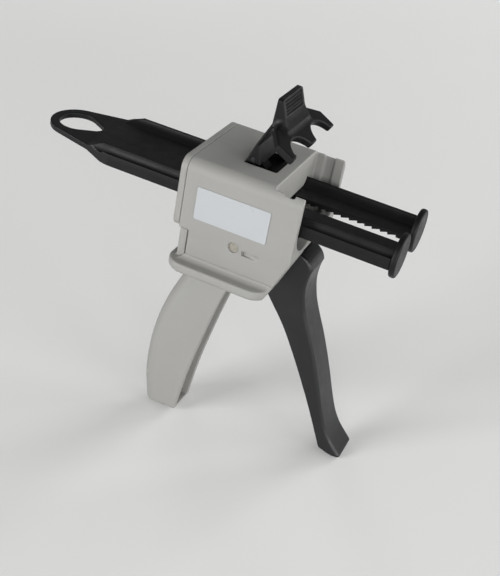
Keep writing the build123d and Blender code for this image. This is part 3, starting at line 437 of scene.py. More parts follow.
# darker, duller black for the parts inside the clip's slot: painted shade
SHADED_BLACK = plastic(
    "black_painted_shade", (0.002, 0.002, 0.002), (0.003, 0.003, 0.003), 0.5, 0.65, 2400.0, 0.00002,
    specular=0.15,
)
LABEL = plastic(
    "label_face", (0.372, 0.388, 0.4), (0.382, 0.398, 0.41), 0.27, 0.31, 900.0, 0.000004,
)
GUIDE = plastic(
    "guide_plastic", (0.5, 0.5, 0.47), (0.56, 0.56, 0.53), 0.3, 0.42, 1500.0, 0.00001,
)
STEEL = metal("bright_steel", (0.38, 0.38, 0.375), 0.4, 900.0)
PIN_FACE = metal("satin_pin", (0.44, 0.42, 0.37), 0.5, 700.0)


# Rounding of the moulded edges, and how far a cut or a joined shape runs past its face
SOFT = 0.45
CRISP = 0.25
LARGE = 0.8
LAP = 2.0

# Body
BODY_HALF = 25.0
BODY_TOP = 14.7
SHOULDER_R = 5.0
COVER_THICK = 3.0
COVER_LOW = -16.0
COVER_CORNER = 3.0
COVER_EDGE = 0.9
LOWER_SEAM = 7.6
LEDGE_TOP = -29.1
SET_IN = 0.3
SET_IN_START = -13.0
SET_IN_FADE = 6.0
BULKHEAD_BACK = 37.6
BULKHEAD_FRONT = 40.1
FORK_END = 44.0
GROOVE_END = 48.5
BODY_FRONT = 52.9
FRONT_LEAN = 5.9
LIP_LOW = -14.5
INNER_HALF = 22.4
INNER_TOP = 12.2
INNER_SHOULDER = 3.7
FLOOR_UNDER = -15.4
SEAT_FLOOR = -13.4
FORK_HALF = 22.6
FORK_CORNER = 0.7
GROOVE_HALF = 23.4
LIP_HALF = 22.2
SEAT_CENTRE = 11.0
SEAT_HEIGHT = -1.8
SEAT_R = 11.2
SLOT_BACK = 20.8
SLOT_FRONT = 35.0
SLOT_HALF = 10.7
GATE_HALF = 8.6
PIN_HOLE = 2.3
SCREW_Y = 19.4
SCREW_LOW = -11.6
SCREW_HIGH = 9.0
SCREW_HOLE = 1.45
SCREW_HEAD = 2.65
SCREW_SINK = 1.6
HIGH = 60.0

# Finger recess beside the pin: a wedge that is deepest at its rear end
WEDGE_BACK = 31.8
WEDGE_FRONT = 39.5
WEDGE_LOW = -18.6
WEDGE_TOP = -16.5
WEDGE_DEPTH = 1.7

# Small roundings and laps of the body
SEAT_ROUND = 0.5
SEAT_LAP = 0.5
FRONT_GAP = 0.1
FRONT_UNDER = 10.0
FRONT_BEHIND = 4.0
FRONT_WALL = 3.0
OPENING_LAP = 1.0
SLOT_FLOOR = 5.0
PIN_HOLE_ROUND = 0.12
SCREW_ROUND = 0.15

# Plunger
PLUNGER_GAP = 0.35
PLATE_TOP = 0.8
PLATE_LOW = -1.8
SKIRT_LOW = -3.7
ROD_OUT = 20.9
ROD_SLOT = 3.6
RACK_OUT = 6.2
ROD_END = 90.2
CREST_Y = 16.9
CREST_HALF = 0.45
RIDGE_RISE = 3.3
RIDGE_FOOT = 12.9
FLANK_RISE = 1.2
INNER_FLANK = 1.35
OUTER_FLANK = 0.47
ROD_GROOVE = 19.2
ROD_GROOVE_HALF = 0.3
LIP_IN = 19.8
LIP_OUT = 20.7
LIP_RISE = 0.9
SKIRT_IN = 16.5
SKIRT_BEVEL = 0.6
WEB_START = -47.0
RIDGE_RAMP = 8.0
BLADE_START = -34.8
LOOP_CENTRE = -61.2
LOOP_R = 12.8
HOLE_CENTRE = -62.0
HOLE_R = 8.2
HOLE_NOSE = -54.0
HOLE_NOSE_R = 4.0
RACK_START = -27.2
RACK_END = 85.0
TOOTH_PITCH = 3.4
TOOTH_TIP = -1.9
TOOTH_DEPTH = 1.1
GROOVE_DEPTH = 0.1
MIDDLE = -1.0
RAMP_LAP = 0.1
RAMP_GRADE = 0.9
BAR_ROUND = 0.35
PLATE_ROUND = 0.5
LOOP_ROUND = 0.6
ROD_SLOT_ROUND = 0.2


def rod_outline(gap):
    """Left half of the plunger's section: plate, ridge, groove, lip and skirt."""
    top = PLATE_TOP + gap
    low = PLATE_LOW - gap
    crest_z = top + RIDGE_RISE
    flank_z = top + FLANK_RISE
    crest_in = (CREST_Y - CREST_HALF - gap, crest_z)
    crest_out = (CREST_Y + CREST_HALF + gap, crest_z)
    groove_in = (ROD_GROOVE - ROD_GROOVE_HALF + gap / 2, top - GROOVE_DEPTH)
    groove_out = (ROD_GROOVE + ROD_GROOVE_HALF - gap / 2, top - GROOVE_DEPTH)
    rise = arc_through((RIDGE_FOOT, top), (crest_in[0] - INNER_FLANK, flank_z), crest_in)
    fall = arc_through(crest_out, (crest_out[0] + OUTER_FLANK, flank_z), groove_in)
    out = ROD_OUT + gap
    skirt_low = SKIRT_LOW - gap
    skirt_in = SKIRT_IN - gap
    return [(MIDDLE, top)] + rise + fall + [
        groove_out, (LIP_IN - gap / 2, top + LIP_RISE), (LIP_OUT + gap / 2, top + LIP_RISE), (out, 0),
        (out, skirt_low + SKIRT_BEVEL), (out - SKIRT_BEVEL, skirt_low), (skirt_in, skirt_low),
        (skirt_in, low), (MIDDLE, low),
    ]


def opening(y, z):
    """Opening that the plunger slides through."""
    return polygon(np.abs(y), z, rod_outline(PLUNGER_GAP))


def shell(side, z, half, top, r):
    """Section with upright sides and round shoulders."""
    return both(side - half, z - top, r)


def seat(x, y, z):
    """Open cartridge seat: fork zone, flange groove and the U-shaped front notches."""
    side = np.abs(y)
    fork = rounded_box(
        x, y, z, BULKHEAD_FRONT, GROOVE_END + FORK_CORNER,
        -FORK_HALF, FORK_HALF, SEAT_FLOOR, HIGH, FORK_CORNER,
    )
    fork = np.maximum(fork, x - FORK_END - SEAT_LAP)
    groove = rounded_box(
        x, y, z, FORK_END, GROOVE_END, -GROOVE_HALF, GROOVE_HALF, SEAT_FLOOR, HIGH, SEAT_ROUND,
    )
    mouth_start = GROOVE_END - SEAT_LAP
    mouth = rounded_box(x, y, z, mouth_start, HIGH, -LIP_HALF, LIP_HALF, SEAT_HEIGHT, HIGH, LARGE)
    notch = np.maximum(circle(side, z, SEAT_CENTRE, SEAT_HEIGHT, SEAT_R), mouth_start - x)
    return np.minimum(np.minimum(fork, groove), np.minimum(mouth, notch))


def housing(x, y, z):
    """Body shell with the seat, the plunger's way, the clip's slot and the open underside."""
    side = np.abs(y)
    inset = SET_IN * ease((SET_IN_START - z) / SET_IN_FADE)
    section = shell(side, z, BODY_HALF, BODY_TOP, SHOULDER_R)
    section = np.maximum(section, side - BODY_HALF + inset)
    body = both(section, span(x, COVER_THICK, BODY_FRONT), SOFT)
    body = np.maximum(body, LEDGE_TOP - z)
    under = LEDGE_TOP - FRONT_UNDER
    front = [
        (BODY_FRONT + FRONT_GAP, LIP_LOW), (HIGH, LIP_LOW), (HIGH, under),
        (BODY_FRONT - FRONT_LEAN - FRONT_BEHIND, under), (BODY_FRONT - FRONT_LEAN, LEDGE_TOP),
    ]
    body = less(body, polygon(x, z, front), LARGE)
    body = less(body, np.maximum(x - LOWER_SEAM, z - COVER_LOW), CRISP)
    cavity = np.maximum(shell(side, z, INNER_HALF, INNER_TOP, INNER_SHOULDER), x - BULKHEAD_BACK)
    wall = BODY_FRONT - BULKHEAD_BACK - FRONT_WALL
    nose = polygon(x, z, [
        (BULKHEAD_BACK - LAP, FLOOR_UNDER), (BULKHEAD_BACK + wall, FLOOR_UNDER),
        (BULKHEAD_BACK + wall - FRONT_LEAN, LEDGE_TOP - LAP), (BULKHEAD_BACK - LAP, LEDGE_TOP - LAP),
    ])
    cavity = np.minimum(cavity, np.maximum(nose, side - INNER_HALF))
    body = np.maximum(body, -cavity)
    body = less(body, seat(x, y, z), SOFT)
    body = less(body, np.maximum(opening(y, z), BULKHEAD_BACK - OPENING_LAP - x), CRISP)
    slot = rounded_box(x, y, z, SLOT_BACK, SLOT_FRONT, -SLOT_HALF, SLOT_HALF, SLOT_FLOOR, HIGH, LARGE)
    body = less(body, slot, SOFT)
    body = less(body, circle(x, z, PIVOT_X, PIVOT_Z, PIN_HOLE), PIN_HOLE_ROUND)
    sink = WEDGE_DEPTH * (WEDGE_FRONT - x) / (WEDGE_FRONT - WEDGE_BACK)
    wedge = np.maximum(BODY_HALF - SET_IN - sink - side, span(x, WEDGE_BACK, WEDGE_FRONT))
    body = less(body, np.maximum(wedge, span(z, WEDGE_LOW, WEDGE_TOP)), CRISP)
    gate = np.maximum(np.maximum(side - GATE_HALF, z - FLOOR_UNDER), BULKHEAD_BACK - x)
    return np.maximum(body, -gate)


def cover(x, y, z):
    """Rear plate with the plunger's opening and four sunk screw places."""
    side = np.abs(y)
    section = both(side - BODY_HALF, COVER_LOW - z, COVER_CORNER)
    section = both(shell(side, z, BODY_HALF, BODY_TOP, SHOULDER_R), section)
    plate = both(section, -x, COVER_EDGE)
    plate = both(plate, x - COVER_THICK, CRISP)
    plate = less(plate, opening(y, z), CRISP)
    for screw_z in (SCREW_LOW, SCREW_HIGH):
        head = np.maximum(circle(side, z, SCREW_Y, screw_z, SCREW_HEAD), x - SCREW_SINK)
        plate = less(plate, head, SCREW_ROUND)
        plate = np.maximum(plate, -circle(side, z, SCREW_Y, screw_z, SCREW_HOLE))
    return plate


# Grip frame
LEDGE_LOW = -33.9
LEDGE_HALF = 31.2
LEDGE_BACK = 1.0
LEDGE_FRONT = 47.0
LEDGE_CORNER = 8.0
LEDGE_EDGE = 0.8
LEDGE_ROUND = 2.4
COLLAR_START = 7.4
COLLAR_R = 3.0
BLOCK_BACK = 3.7
BLOCK_FRONT = 7.15
BLOCK_HALF = 24.4
BLOCK_TOP = -16.3
LEVER_ROOM = 6.6
LEVER_LOW = -25.5
GRIP_HALF = 7.8
GRIP_WALL = 2.3
GRIP_ROUND = 6.5
GRIP_HEEL = 10.0
GRIP_LIP = 0.6
FOOT_THICK = 1.2
CHEEK_IN = 9.0
CHEEK_OUT = 11.5
CHEEK_BACK = 6.4
CHEEK_FRONT = 33.5
CHEEK_TOP = -4.3
CHEEK_KNEE = -8.5
CHEEK_SLOPE = 2.0
TRIGGER_SLOT = 24.0
FOOT_ROUND = 1.0
CHANNEL_ROUND = 2.0
CORE_HIGH = 8.0
BODY_GAP = 0.05
HANDLE_LAP = 1.0
HANDLE_BLEND = 3.0
BLOCK_LAP = 3.0
BLOCK_ROUND = 0.3
WINDOW_ROUND = 1.0
FRAME_SCREW_ROUND = 0.2

# Each hole through the cheeks: its place and its radius
FRAME_HOLES = [(PIVOT_X, PIVOT_Z, PIN_HOLE), (11.0, -8.5, 1.35), (12.0, -20.5, 1.55)]
FRAME_SCREWS = [10.6, 36.7]
GRIP_BACK = [
    (7.5, -31.5), (3.9, -41.0), (-0.5, -51.0), (-5.4, -63.0), (-9.0, -75.3), (-11.1, -87.3),
    (-11.9, -99.5), (-11.4, -111.5), (-8.6, -127.0),
]
GRIP_FRONT = [
    (26.0, -31.5), (24.2, -41.0), (22.4, -48.6), (20.0, -57.1), (17.1, -69.2), (13.9, -84.0),
    (11.3, -97.3), (9.6, -108.0), (7.2, -127.0),
]


def grip(x, side, z):
    """Grip that opens forward: round back, two walls and a thin foot."""
    back = smooth_line(GRIP_BACK)
    front = smooth_line(GRIP_FRONT)
    behind = polygon(x, z, back + [(HIGH, back[-1][1]), (HIGH, back[0][1])])
    before = polygon(x, z, [(-HIGH, front[0][1])] + front + [(-HIGH, front[-1][1])])
    outer = both(behind, side - GRIP_HALF, GRIP_ROUND)
    outer = both(outer, before, GRIP_LIP)
    heel = both(behind, -floor_side(x, z), GRIP_HEEL)
    outer = both(np.maximum(outer, heel), -floor_side(x, z), FOOT_ROUND)
    inner_round = GRIP_ROUND - GRIP_WALL
    channel = both(behind + GRIP_WALL, side - GRIP_HALF + GRIP_WALL, inner_round)
    ends = both(z - LEDGE_LOW + GRIP_WALL, -floor_side(x, z, FOOT_THICK))
    channel = both(channel, ends, CHANNEL_ROUND)
    heel_inside = both(behind + GRIP_WALL, -floor_side(x, z, FOOT_THICK), GRIP_HEEL - GRIP_WALL)
    return less(outer, np.maximum(channel, heel_inside), SOFT)


def ledge(x, side, z):
    """Hand ledge with the hollow fillet that runs up to the body's sides."""
    plan = both(span(x, LEDGE_BACK, LEDGE_FRONT), side - LEDGE_HALF, LEDGE_CORNER)
    plate = both(both(plan, z - LEDGE_TOP, LEDGE_EDGE), LEDGE_LOW - z, LEDGE_ROUND)
    core = np.maximum(span(x, COLLAR_START, LEDGE_FRONT), side - BODY_HALF + SET_IN)
    core = np.maximum(core, span(z, LEDGE_LOW + LAP, LEDGE_TOP + CORE_HIGH))
    blended = np.maximum(join(plate, core, COLLAR_R), z - LEDGE_TOP - COLLAR_R)
    lean = FRONT_LEAN / (LIP_LOW - LEDGE_TOP)
    leaning = (x - LEDGE_FRONT - (z - LEDGE_TOP) * lean) / math.hypot(1, lean)
    blended = both(blended, leaning, SOFT)
    body_room = np.maximum(side - BODY_HALF + SET_IN + BODY_GAP, LEDGE_TOP + BODY_GAP - z)
    return np.maximum(blended, -body_room)


def grip_frame(x, y, z):
    """Ledge, grip, rear block and the two cheeks that carry the pins."""
    side = np.abs(y)
    plate = ledge(x, side, z)
    handle = grip(x, side, z)
    handle = np.maximum(handle, z - LEDGE_TOP + HANDLE_LAP)
    whole = np.where(z > LEDGE_LOW + HANDLE_BLEND, plate, join(plate, handle, HANDLE_BLEND))
    block = rounded_box(
        x, y, z, BLOCK_BACK, BLOCK_FRONT, -BLOCK_HALF, BLOCK_HALF,
        LEDGE_TOP - BLOCK_LAP, BLOCK_TOP, BLOCK_ROUND,
    )
    window = rounded_box(
        x, y, z, 0, LEVER_ROOM + BLOCK_FRONT, -LEVER_ROOM, LEVER_ROOM,
        LEVER_LOW, LEVER_ROOM, WINDOW_ROUND,
    )
    whole = join(whole, less(block, window, SOFT), LARGE)
    cheek_low = LEDGE_TOP - LAP
    cheek = [
        (CHEEK_BACK, cheek_low), (CHEEK_BACK, CHEEK_KNEE), (CHEEK_BACK + CHEEK_SLOPE, CHEEK_TOP),
        (CHEEK_FRONT - CHEEK_SLOPE, CHEEK_TOP), (CHEEK_FRONT, CHEEK_KNEE), (CHEEK_FRONT, cheek_low),
    ]
    whole = np.minimum(whole, np.maximum(polygon(x, z, cheek), span(side, CHEEK_IN, CHEEK_OUT)))
    way = rounded_box(
        x, y, z, TRIGGER_SLOT, HIGH, -GATE_HALF, GATE_HALF,
        LEDGE_LOW - HANDLE_LAP, LEDGE_TOP + CORE_HIGH, WINDOW_ROUND,
    )
    whole = less(whole, way, SOFT)
    for hole_x, hole_z, r in FRAME_HOLES:
        whole = np.maximum(whole, -circle(x, z, hole_x, hole_z, r))
    for screw_x in FRAME_SCREWS:
        head = np.maximum(circle(x, side, screw_x, SCREW_Y, SCREW_HEAD), z - LEDGE_LOW - SCREW_SINK)
        whole = less(whole, head, FRAME_SCREW_ROUND)
        whole = np.maximum(whole, -circle(x, side, screw_x, SCREW_Y, SCREW_HOLE))
    return whole


def plunger_plan(x, side):
    """Plan of the plunger: pull loop, drawn-in neck and full-width blade."""
    run = BLADE_START - LOOP_CENTRE
    turn = math.atan2(ROD_OUT, run) + math.acos(LOOP_R / math.hypot(run, ROD_OUT))
    touch_x = LOOP_CENTRE + LOOP_R * math.cos(turn)
    touch_y = LOOP_R * math.sin(turn)
    flank = (x - touch_x) * math.cos(turn) + (side - touch_y) * math.sin(turn)
    blade = np.maximum(np.maximum(flank, side - ROD_OUT), touch_x - x)
    return np.minimum(circle(x, side, LOOP_CENTRE, 0, LOOP_R), blade)


def saw_teeth(x):
    """Height of the rack's underside."""
    along = (x - RACK_START) / TOOTH_PITCH
    teeth = TOOTH_TIP + TOOTH_DEPTH * (along - np.floor(along))
    return np.where((x > RACK_START) & (x < RACK_END), teeth, PLATE_LOW)


def plunger(x, y, z):
    """Pull loop, ridged blade, saw teeth and the two rods."""
    side = np.abs(y)
    plan = plunger_plan(x, side)
    section = polygon(side, z, rod_outline(0))
    share = np.clip((x - WEB_START) / RIDGE_RAMP, 0, 1)
    over = z - PLATE_TOP - share * (RIDGE_RISE + RAMP_LAP)
    under = PLATE_LOW - share * (PLATE_LOW - SKIRT_LOW + RAMP_LAP) - z
    bar = np.maximum(np.maximum(section, over * RAMP_GRADE), under * RAMP_GRADE)
    bar = np.where(x < WEB_START, HIGH, both(bar, plan, BAR_ROUND))
    flat = both(span(z, PLATE_LOW, PLATE_TOP), plan, PLATE_ROUND)
    whole = np.minimum(bar, np.maximum(flat, x - WEB_START - RIDGE_RAMP))
    teeth = (saw_teeth(x) - z) * RAMP_GRADE
    in_rack = (side < RACK_OUT) & (x > RACK_START) & (z < 0)
    whole = np.where(in_rack, np.maximum(whole, teeth), whole)
    strip = np.maximum(np.maximum(span(side, ROD_SLOT, RACK_OUT), teeth), z - PLATE_TOP)
    whole = np.minimum(whole, np.maximum(strip, RACK_START - x))
    whole = np.maximum(whole, x - ROD_END)
    whole = less(whole, hull(x, side, HOLE_CENTRE, HOLE_R, HOLE_NOSE, HOLE_NOSE_R), LOOP_ROUND)
    return less(whole, np.maximum(side - ROD_SLOT, -x), ROD_SLOT_ROUND)


# Pusher discs
DISC_CENTRE = 12.5
DISC_R = 9.25
DISC_THICK = 2.6
DISC_RIM = 0.8
TANG_IN = 10.4
TANG_OUT = 16.4
TANG_LENGTH = 5.2
TANG_LOW = -3.5
TANG_LAP = 0.4
TANG_GAP = 0.05
TANG_ROUND = 0.3


def pusher(side):
    """Field of the disc on the left (1) or on the right (-1) rod, with its tang."""
    def field(x, y, z):
        out = y * side
        round_plan = circle(out, z, DISC_CENTRE, 0, DISC_R)
        plate = both(span(x, ROD_END, ROD_END + DISC_THICK), round_plan, DISC_RIM)
        tang = rounded_box(
            x, out, z, ROD_END - TANG_LENGTH, ROD_END + TANG_LAP,
            TANG_IN, TANG_OUT, TANG_LOW, PLATE_LOW - TANG_GAP, TANG_ROUND,
        )
        return np.minimum(plate, tang)
    return field


# Trigger
TRIGGER_HALF = 8.0
TRIGGER_ROUND = 1.4
TRIGGER_WALL = 2.2
HOLLOW_DEPTH = 4.6
RIB_THICK = 1.6
BOSS_R = 4.9
ARM_HALF = 3.4
ARM_TOP = -15.9
EAR_GAP = 6.3
EAR_R = 2.5
DRIVE_X = 27.0
DRIVE_Z = -7.5
DRIVE_HOLE = 1.35
TRIGGER_REAR = [
    (42.3, -43.5), (50.5, -54.1), (58.0, -66.4), (66.1, -81.3), (72.5, -94.0), (80.0, -110.0),
    (83.0, -116.0),
]
TRIGGER_FRONT = [
    (57.7, -25.0), (57.0, -29.0), (56.9, -35.0), (58.8, -43.5), (61.8, -51.0), (65.5, -59.0),
    (69.4, -68.6), (72.9, -78.0), (76.0, -87.0), (79.5, -96.0), (82.9, -101.8), (86.6, -106.0),
]
HEAD_TOP = (49.0, -18.2)
BROW = (56.4, -21.2)
BROW_FOOT = (58.0, -24.6)
TOE = (90.3, -109.8)
TOE_UNDER = (88.3, -116.0)
SOLE = (87.5, -111.4)
SOLE_SLOPE = 0.3
TOE_ROUND = 2.2
ARM_REACH = 5.8
ARM_BROW_X = 53.8
ARM_ROOM = 1.4
HOLLOW_LAP = 2.0
HOLLOW_CORNER = 1.0
HOLLOW_ROUND = 0.3
RIBS = 2


def trigger(x, y, z):
    """Curved finger piece, its arm and boss on the pin, the pawl's ears and the ribbed back."""
    side = np.abs(y)
    rear = smooth_line(TRIGGER_REAR)
    front = smooth_line(TRIGGER_FRONT + [TOE])
    head = arc_through(HEAD_TOP, BROW, BROW_FOOT)
    low = TOE_UNDER[1]
    behind = polygon(x, z, [HEAD_TOP] + rear + [(2 * HIGH, low), (2 * HIGH, HEAD_TOP[1])])
    ahead = polygon(x, z, [(-HIGH, HEAD_TOP[1])] + head + front + [TOE_UNDER, (-HIGH, low)])
    piece = both(ahead, side - TRIGGER_HALF, TRIGGER_ROUND)
    piece = both(piece, behind, SOFT)
    arm = polygon(x, z, [
        (PIVOT_X - ARM_HALF, PIVOT_Z + ARM_HALF), (PIVOT_X + ARM_HALF, PIVOT_Z + ARM_HALF),
        (PIVOT_X + ARM_HALF + ARM_REACH, ARM_TOP), HEAD_TOP, (ARM_BROW_X, TRIGGER_FRONT[2][1]),
        TRIGGER_REAR[0], (PIVOT_X - ARM_HALF, PIVOT_Z - ARM_HALF),
    ])
    piece = np.minimum(piece, both(arm, side - TRIGGER_HALF, SOFT))
    boss = both(circle(x, z, PIVOT_X, PIVOT_Z, BOSS_R), side - TRIGGER_HALF, SOFT)
    piece = np.minimum(piece, boss)
    ear = polygon(x, z, [
        (DRIVE_X - EAR_R, DRIVE_Z), (DRIVE_X + EAR_R, DRIVE_Z),
        (PIVOT_X + BOSS_R, PIVOT_Z), (PIVOT_X - BOSS_R, PIVOT_Z),
    ])
    ear = np.minimum(ear, circle(x, z, DRIVE_X, DRIVE_Z, EAR_R))
    piece = np.minimum(piece, np.maximum(ear, span(side, EAR_GAP, TRIGGER_HALF)))
    room = np.maximum(span(x, PIVOT_X - 2 * BOSS_R, PIVOT_X + BOSS_R + ARM_ROOM), side - EAR_GAP)
    piece = np.maximum(piece, -np.maximum(room, span(z, PIVOT_Z - 2 * BOSS_R, PIVOT_Z + BOSS_R)))
    upper = TRIGGER_REAR[:-2]
    mouth = [(px - HOLLOW_LAP, pz) for px, pz in upper]
    bed = [(px + HOLLOW_DEPTH, pz) for px, pz in upper]
    inner = side - TRIGGER_HALF + TRIGGER_WALL
    hollow = both(polygon(x, z, mouth + bed[::-1]), inner, HOLLOW_CORNER)
    for rib in range(1, RIBS + 1):
        rib_z = upper[0][1] + rib / (RIBS + 1) * (upper[-1][1] - upper[0][1])
        hollow = np.maximum(hollow, -span(z, rib_z - RIB_THICK / 2, rib_z + RIB_THICK / 2))
    piece = less(piece, hollow, HOLLOW_ROUND)
    piece = np.maximum(piece, -circle(x, z, PIVOT_X, PIVOT_Z, PIN_HOLE))
    piece = np.maximum(piece, -circle(x, z, DRIVE_X, DRIVE_Z, DRIVE_HOLE))
    sole = (SOLE[1] - z + (SOLE[0] - x) * SOLE_SLOPE) / math.hypot(1, SOLE_SLOPE)
    piece = both(piece, sole, LARGE)
    return both(piece, -floor_side(x, z), TOE_ROUND)


# Clip, shaped closed and swung open about its hinge
HINGE_X = 24.1
HINGE_Z = 16.8
CLIP_OPEN = math.radians(62.0)
CLIP_HALF = 10.4
CLIP_PIN_HOLE = 0.95
FORK_OUT = 22.3
FORK_SHOULDER = 12.0
FORK_CROWN = 15.0
FORK_TOP = 17.6
FORK_TIP = 3.8
FORK_BACK = 40.4
FORK_FRONT = 43.7
FORK_EDGE = 0.9
ARCH_CENTRE = 10.7
ARCH_HEIGHT = 2.0
ARCH_R = 8.3
HEEL = (20.9, 18.6)
GUSSET_TOP = (30.3, 19.86)
CREST = (41.4, 20.4)
TAB_TIP = (51.1, 25.0)
TAB_FACE = (52.1, 23.1)
TAB_FOOT = (47.1, 17.6)
ROOT_Z = 13.6
CLIP_PLATE = 1.3
TAB_CORNER = 1.3
TAB_FILLET = 3.0
TAB_BORDER = 2.0
TAB_GROOVES = 5
TAB_GROOVE_R = 0.5
TAB_MARGIN = 0.16
EAR_OUT = 8.6
EAR_IN = 6.4
ARCH_ROUND = 0.6
ROOT_LENGTH = 1.2
THROAT_X = 0.5
THROAT_Z = 3.5
THROAT_LOW = 4.0
TAB_START = 4.0
FILLET_START = 0.2
GROOVE_END_ROUND = 0.3
GROOVE_ROUND = 0.12
EAR_ROOM = 2.0
EAR_REACH = 10.0
EAR_AHEAD = 0.3
EAR_STEP = 1.0


def swing_open(points, normals):
    """Points and directions of the closed clip, turned open about its hinge."""
    c = math.cos(CLIP_OPEN)
    s = math.sin(CLIP_OPEN)
    out = []
    for values, middle_x, middle_z in ((points, HINGE_X, HINGE_Z), (normals, 0, 0)):
        dx = values[:, 0] - middle_x
        dz = values[:, 2] - middle_z
        turned_x = middle_x + dx * c - dz * s
        turned_z = middle_z + dx * s + dz * c
        out.append(np.stack([turned_x, values[:, 1], turned_z], 1))
    return out


def clip(x, y, z):
    """Closed clip: the fork with two arches, the bar to the hinge and the grooved thumb tab."""
    side = np.abs(y)
    fork = polygon(side, z, [
        (MIDDLE, FORK_TIP), (FORK_OUT, FORK_TIP), (FORK_OUT, FORK_SHOULDER),
        (FORK_CROWN, FORK_TOP), (MIDDLE, FORK_TOP),
    ])
    fork = both(fork, -circle(side, z, ARCH_CENTRE, ARCH_HEIGHT, ARCH_R), ARCH_ROUND)
    fork = both(fork, span(x, FORK_BACK, FORK_FRONT), FORK_EDGE)
    profile = [
        HEEL, GUSSET_TOP, CREST, TAB_TIP, TAB_FACE, TAB_FOOT,
        (FORK_FRONT + ROOT_LENGTH, ROOT_Z), (FORK_BACK, ROOT_Z),
        (FORK_BACK, CREST[1] - CLIP_PLATE), (GUSSET_TOP[0], GUSSET_TOP[1] - CLIP_PLATE),
        (HINGE_X + THROAT_X, HINGE_Z - THROAT_Z), (HINGE_X, HINGE_Z - THROAT_LOW),
    ]
    bar = both(polygon(x, z, profile), side - CLIP_HALF, SOFT)
    rise_x = TAB_TIP[0] - CREST[0]
    rise_z = TAB_TIP[1] - CREST[1]
    along = ((x - TAB_TIP[0]) * rise_x + (z - TAB_TIP[1]) * rise_z) / math.hypot(rise_x, rise_z)
    corner = both(side - CLIP_HALF, along, TAB_CORNER)
    corner = np.where(side > CLIP_HALF - TAB_CORNER, corner, -1)
    bar = np.where(x > FORK_FRONT + TAB_START, np.maximum(bar, corner), bar)
    filled = join(fork, bar, TAB_FILLET)
    piece = np.where(x > FORK_BACK + FILLET_START, filled, np.minimum(fork, bar))
    for index in range(TAB_GROOVES):
        share = TAB_MARGIN + index * (1 - 2 * TAB_MARGIN) / (TAB_GROOVES - 1)
        groove_x = TAB_FACE[0] + share * (TAB_FOOT[0] - TAB_FACE[0])
        groove_z = TAB_FACE[1] + share * (TAB_FOOT[1] - TAB_FACE[1])
        line = circle(x, z, groove_x, groove_z, TAB_GROOVE_R)
        groove = both(line, side - CLIP_HALF + TAB_BORDER, GROOVE_END_ROUND)
        piece = less(piece, groove, GROOVE_ROUND)
    reach_x = HINGE_X - EAR_REACH
    reach_z = HINGE_Z - EAR_REACH
    sweep = polygon(x, z, [
        (HINGE_X + EAR_AHEAD, HINGE_Z + EAR_ROOM), (HINGE_X + EAR_AHEAD, reach_z), (reach_x, reach_z),
        (reach_x, HINGE_Z + EAR_STEP), (HINGE_X - EAR_STEP, HINGE_Z + EAR_ROOM),
    ])
    ears = np.minimum(sweep, circle(x, z, HINGE_X, HINGE_Z, EAR_ROOM))
    piece = np.maximum(piece, -np.maximum(ears, span(side, EAR_IN, EAR_OUT)))
    return np.maximum(piece, -circle(x, z, HINGE_X, HINGE_Z, CLIP_PIN_HOLE))


# Cell sizes of the meshes, in millimetres, and bounds that no other size gives
BODY_CELL = 0.4
COVER_CELL = (0.3, 0.4, 0.4)
FRAME_CELL = 0.45
PLUNGER_CELL = (0.4, 0.25, 0.25)
DISC_CELL = 0.3
TRIGGER_CELL = 0.4
CLIP_CELL = 0.28
GRIP_REAR = -12.25
GRIP_LOW = -124.0

moulded(
    "housing_shell", "body_housing", housing,
    (COVER_THICK, -BODY_HALF, LEDGE_TOP), (BODY_FRONT, BODY_HALF, BODY_TOP), BODY_CELL,
    GREY, "body",
)
moulded(
    "back_cover", "rear_cover", cover,
    (0, -BODY_HALF, COVER_LOW), (COVER_THICK, BODY_HALF, BODY_TOP), COVER_CELL,
    GREY, "body",
)
moulded(
    "handle_frame", "grip_frame", grip_frame,
    (GRIP_REAR, -LEDGE_HALF, GRIP_LOW), (LEDGE_FRONT, LEDGE_HALF, CHEEK_TOP), FRAME_CELL,
    GREY, "body",
)
moulded(
    "plunger_blade", "plunger_frame", plunger,
    (LOOP_CENTRE - LOOP_R, -ROD_OUT, SKIRT_LOW),
    (ROD_END, ROD_OUT, PLATE_TOP + RIDGE_RISE), PLUNGER_CELL,
    RUBBED, "plunger",
)
for name, node, side in (("disc_left", "left_pusher_disc", 1), ("disc_right", "right_pusher_disc", -1)):
    outer = side * (DISC_CENTRE + DISC_R)
    inner = side * (DISC_CENTRE - DISC_R)
    moulded(
        name, node, pusher(side),
        (ROD_END - TANG_LENGTH, min(inner, outer), -DISC_R),
        (ROD_END + DISC_THICK, max(inner, outer), DISC_R), DISC_CELL,
        RUBBED, "plunger",
    )
moulded(
    "finger_lever", "trigger", trigger,
    (PIVOT_X - BOSS_R, -TRIGGER_HALF, TOE_UNDER[1]),
    (TOE[0], TRIGGER_HALF, DRIVE_Z + EAR_R), TRIGGER_CELL,
    BLACK, "trigger",
)
moulded(
    "locking_clip", "cartridge_clip", clip,
    (HEEL[0], -FORK_OUT, FORK_TIP), (TAB_FACE[0], FORK_OUT, TAB_TIP[1]), CLIP_CELL,
    RUBBED, "clip", swing_open,
)


def dress(node, material):
    """Give a CAD node that stays its procedural material."""
    piece = frame["nodes"][node]
    piece.data.materials.clear()
    piece.data.materials.append(material)


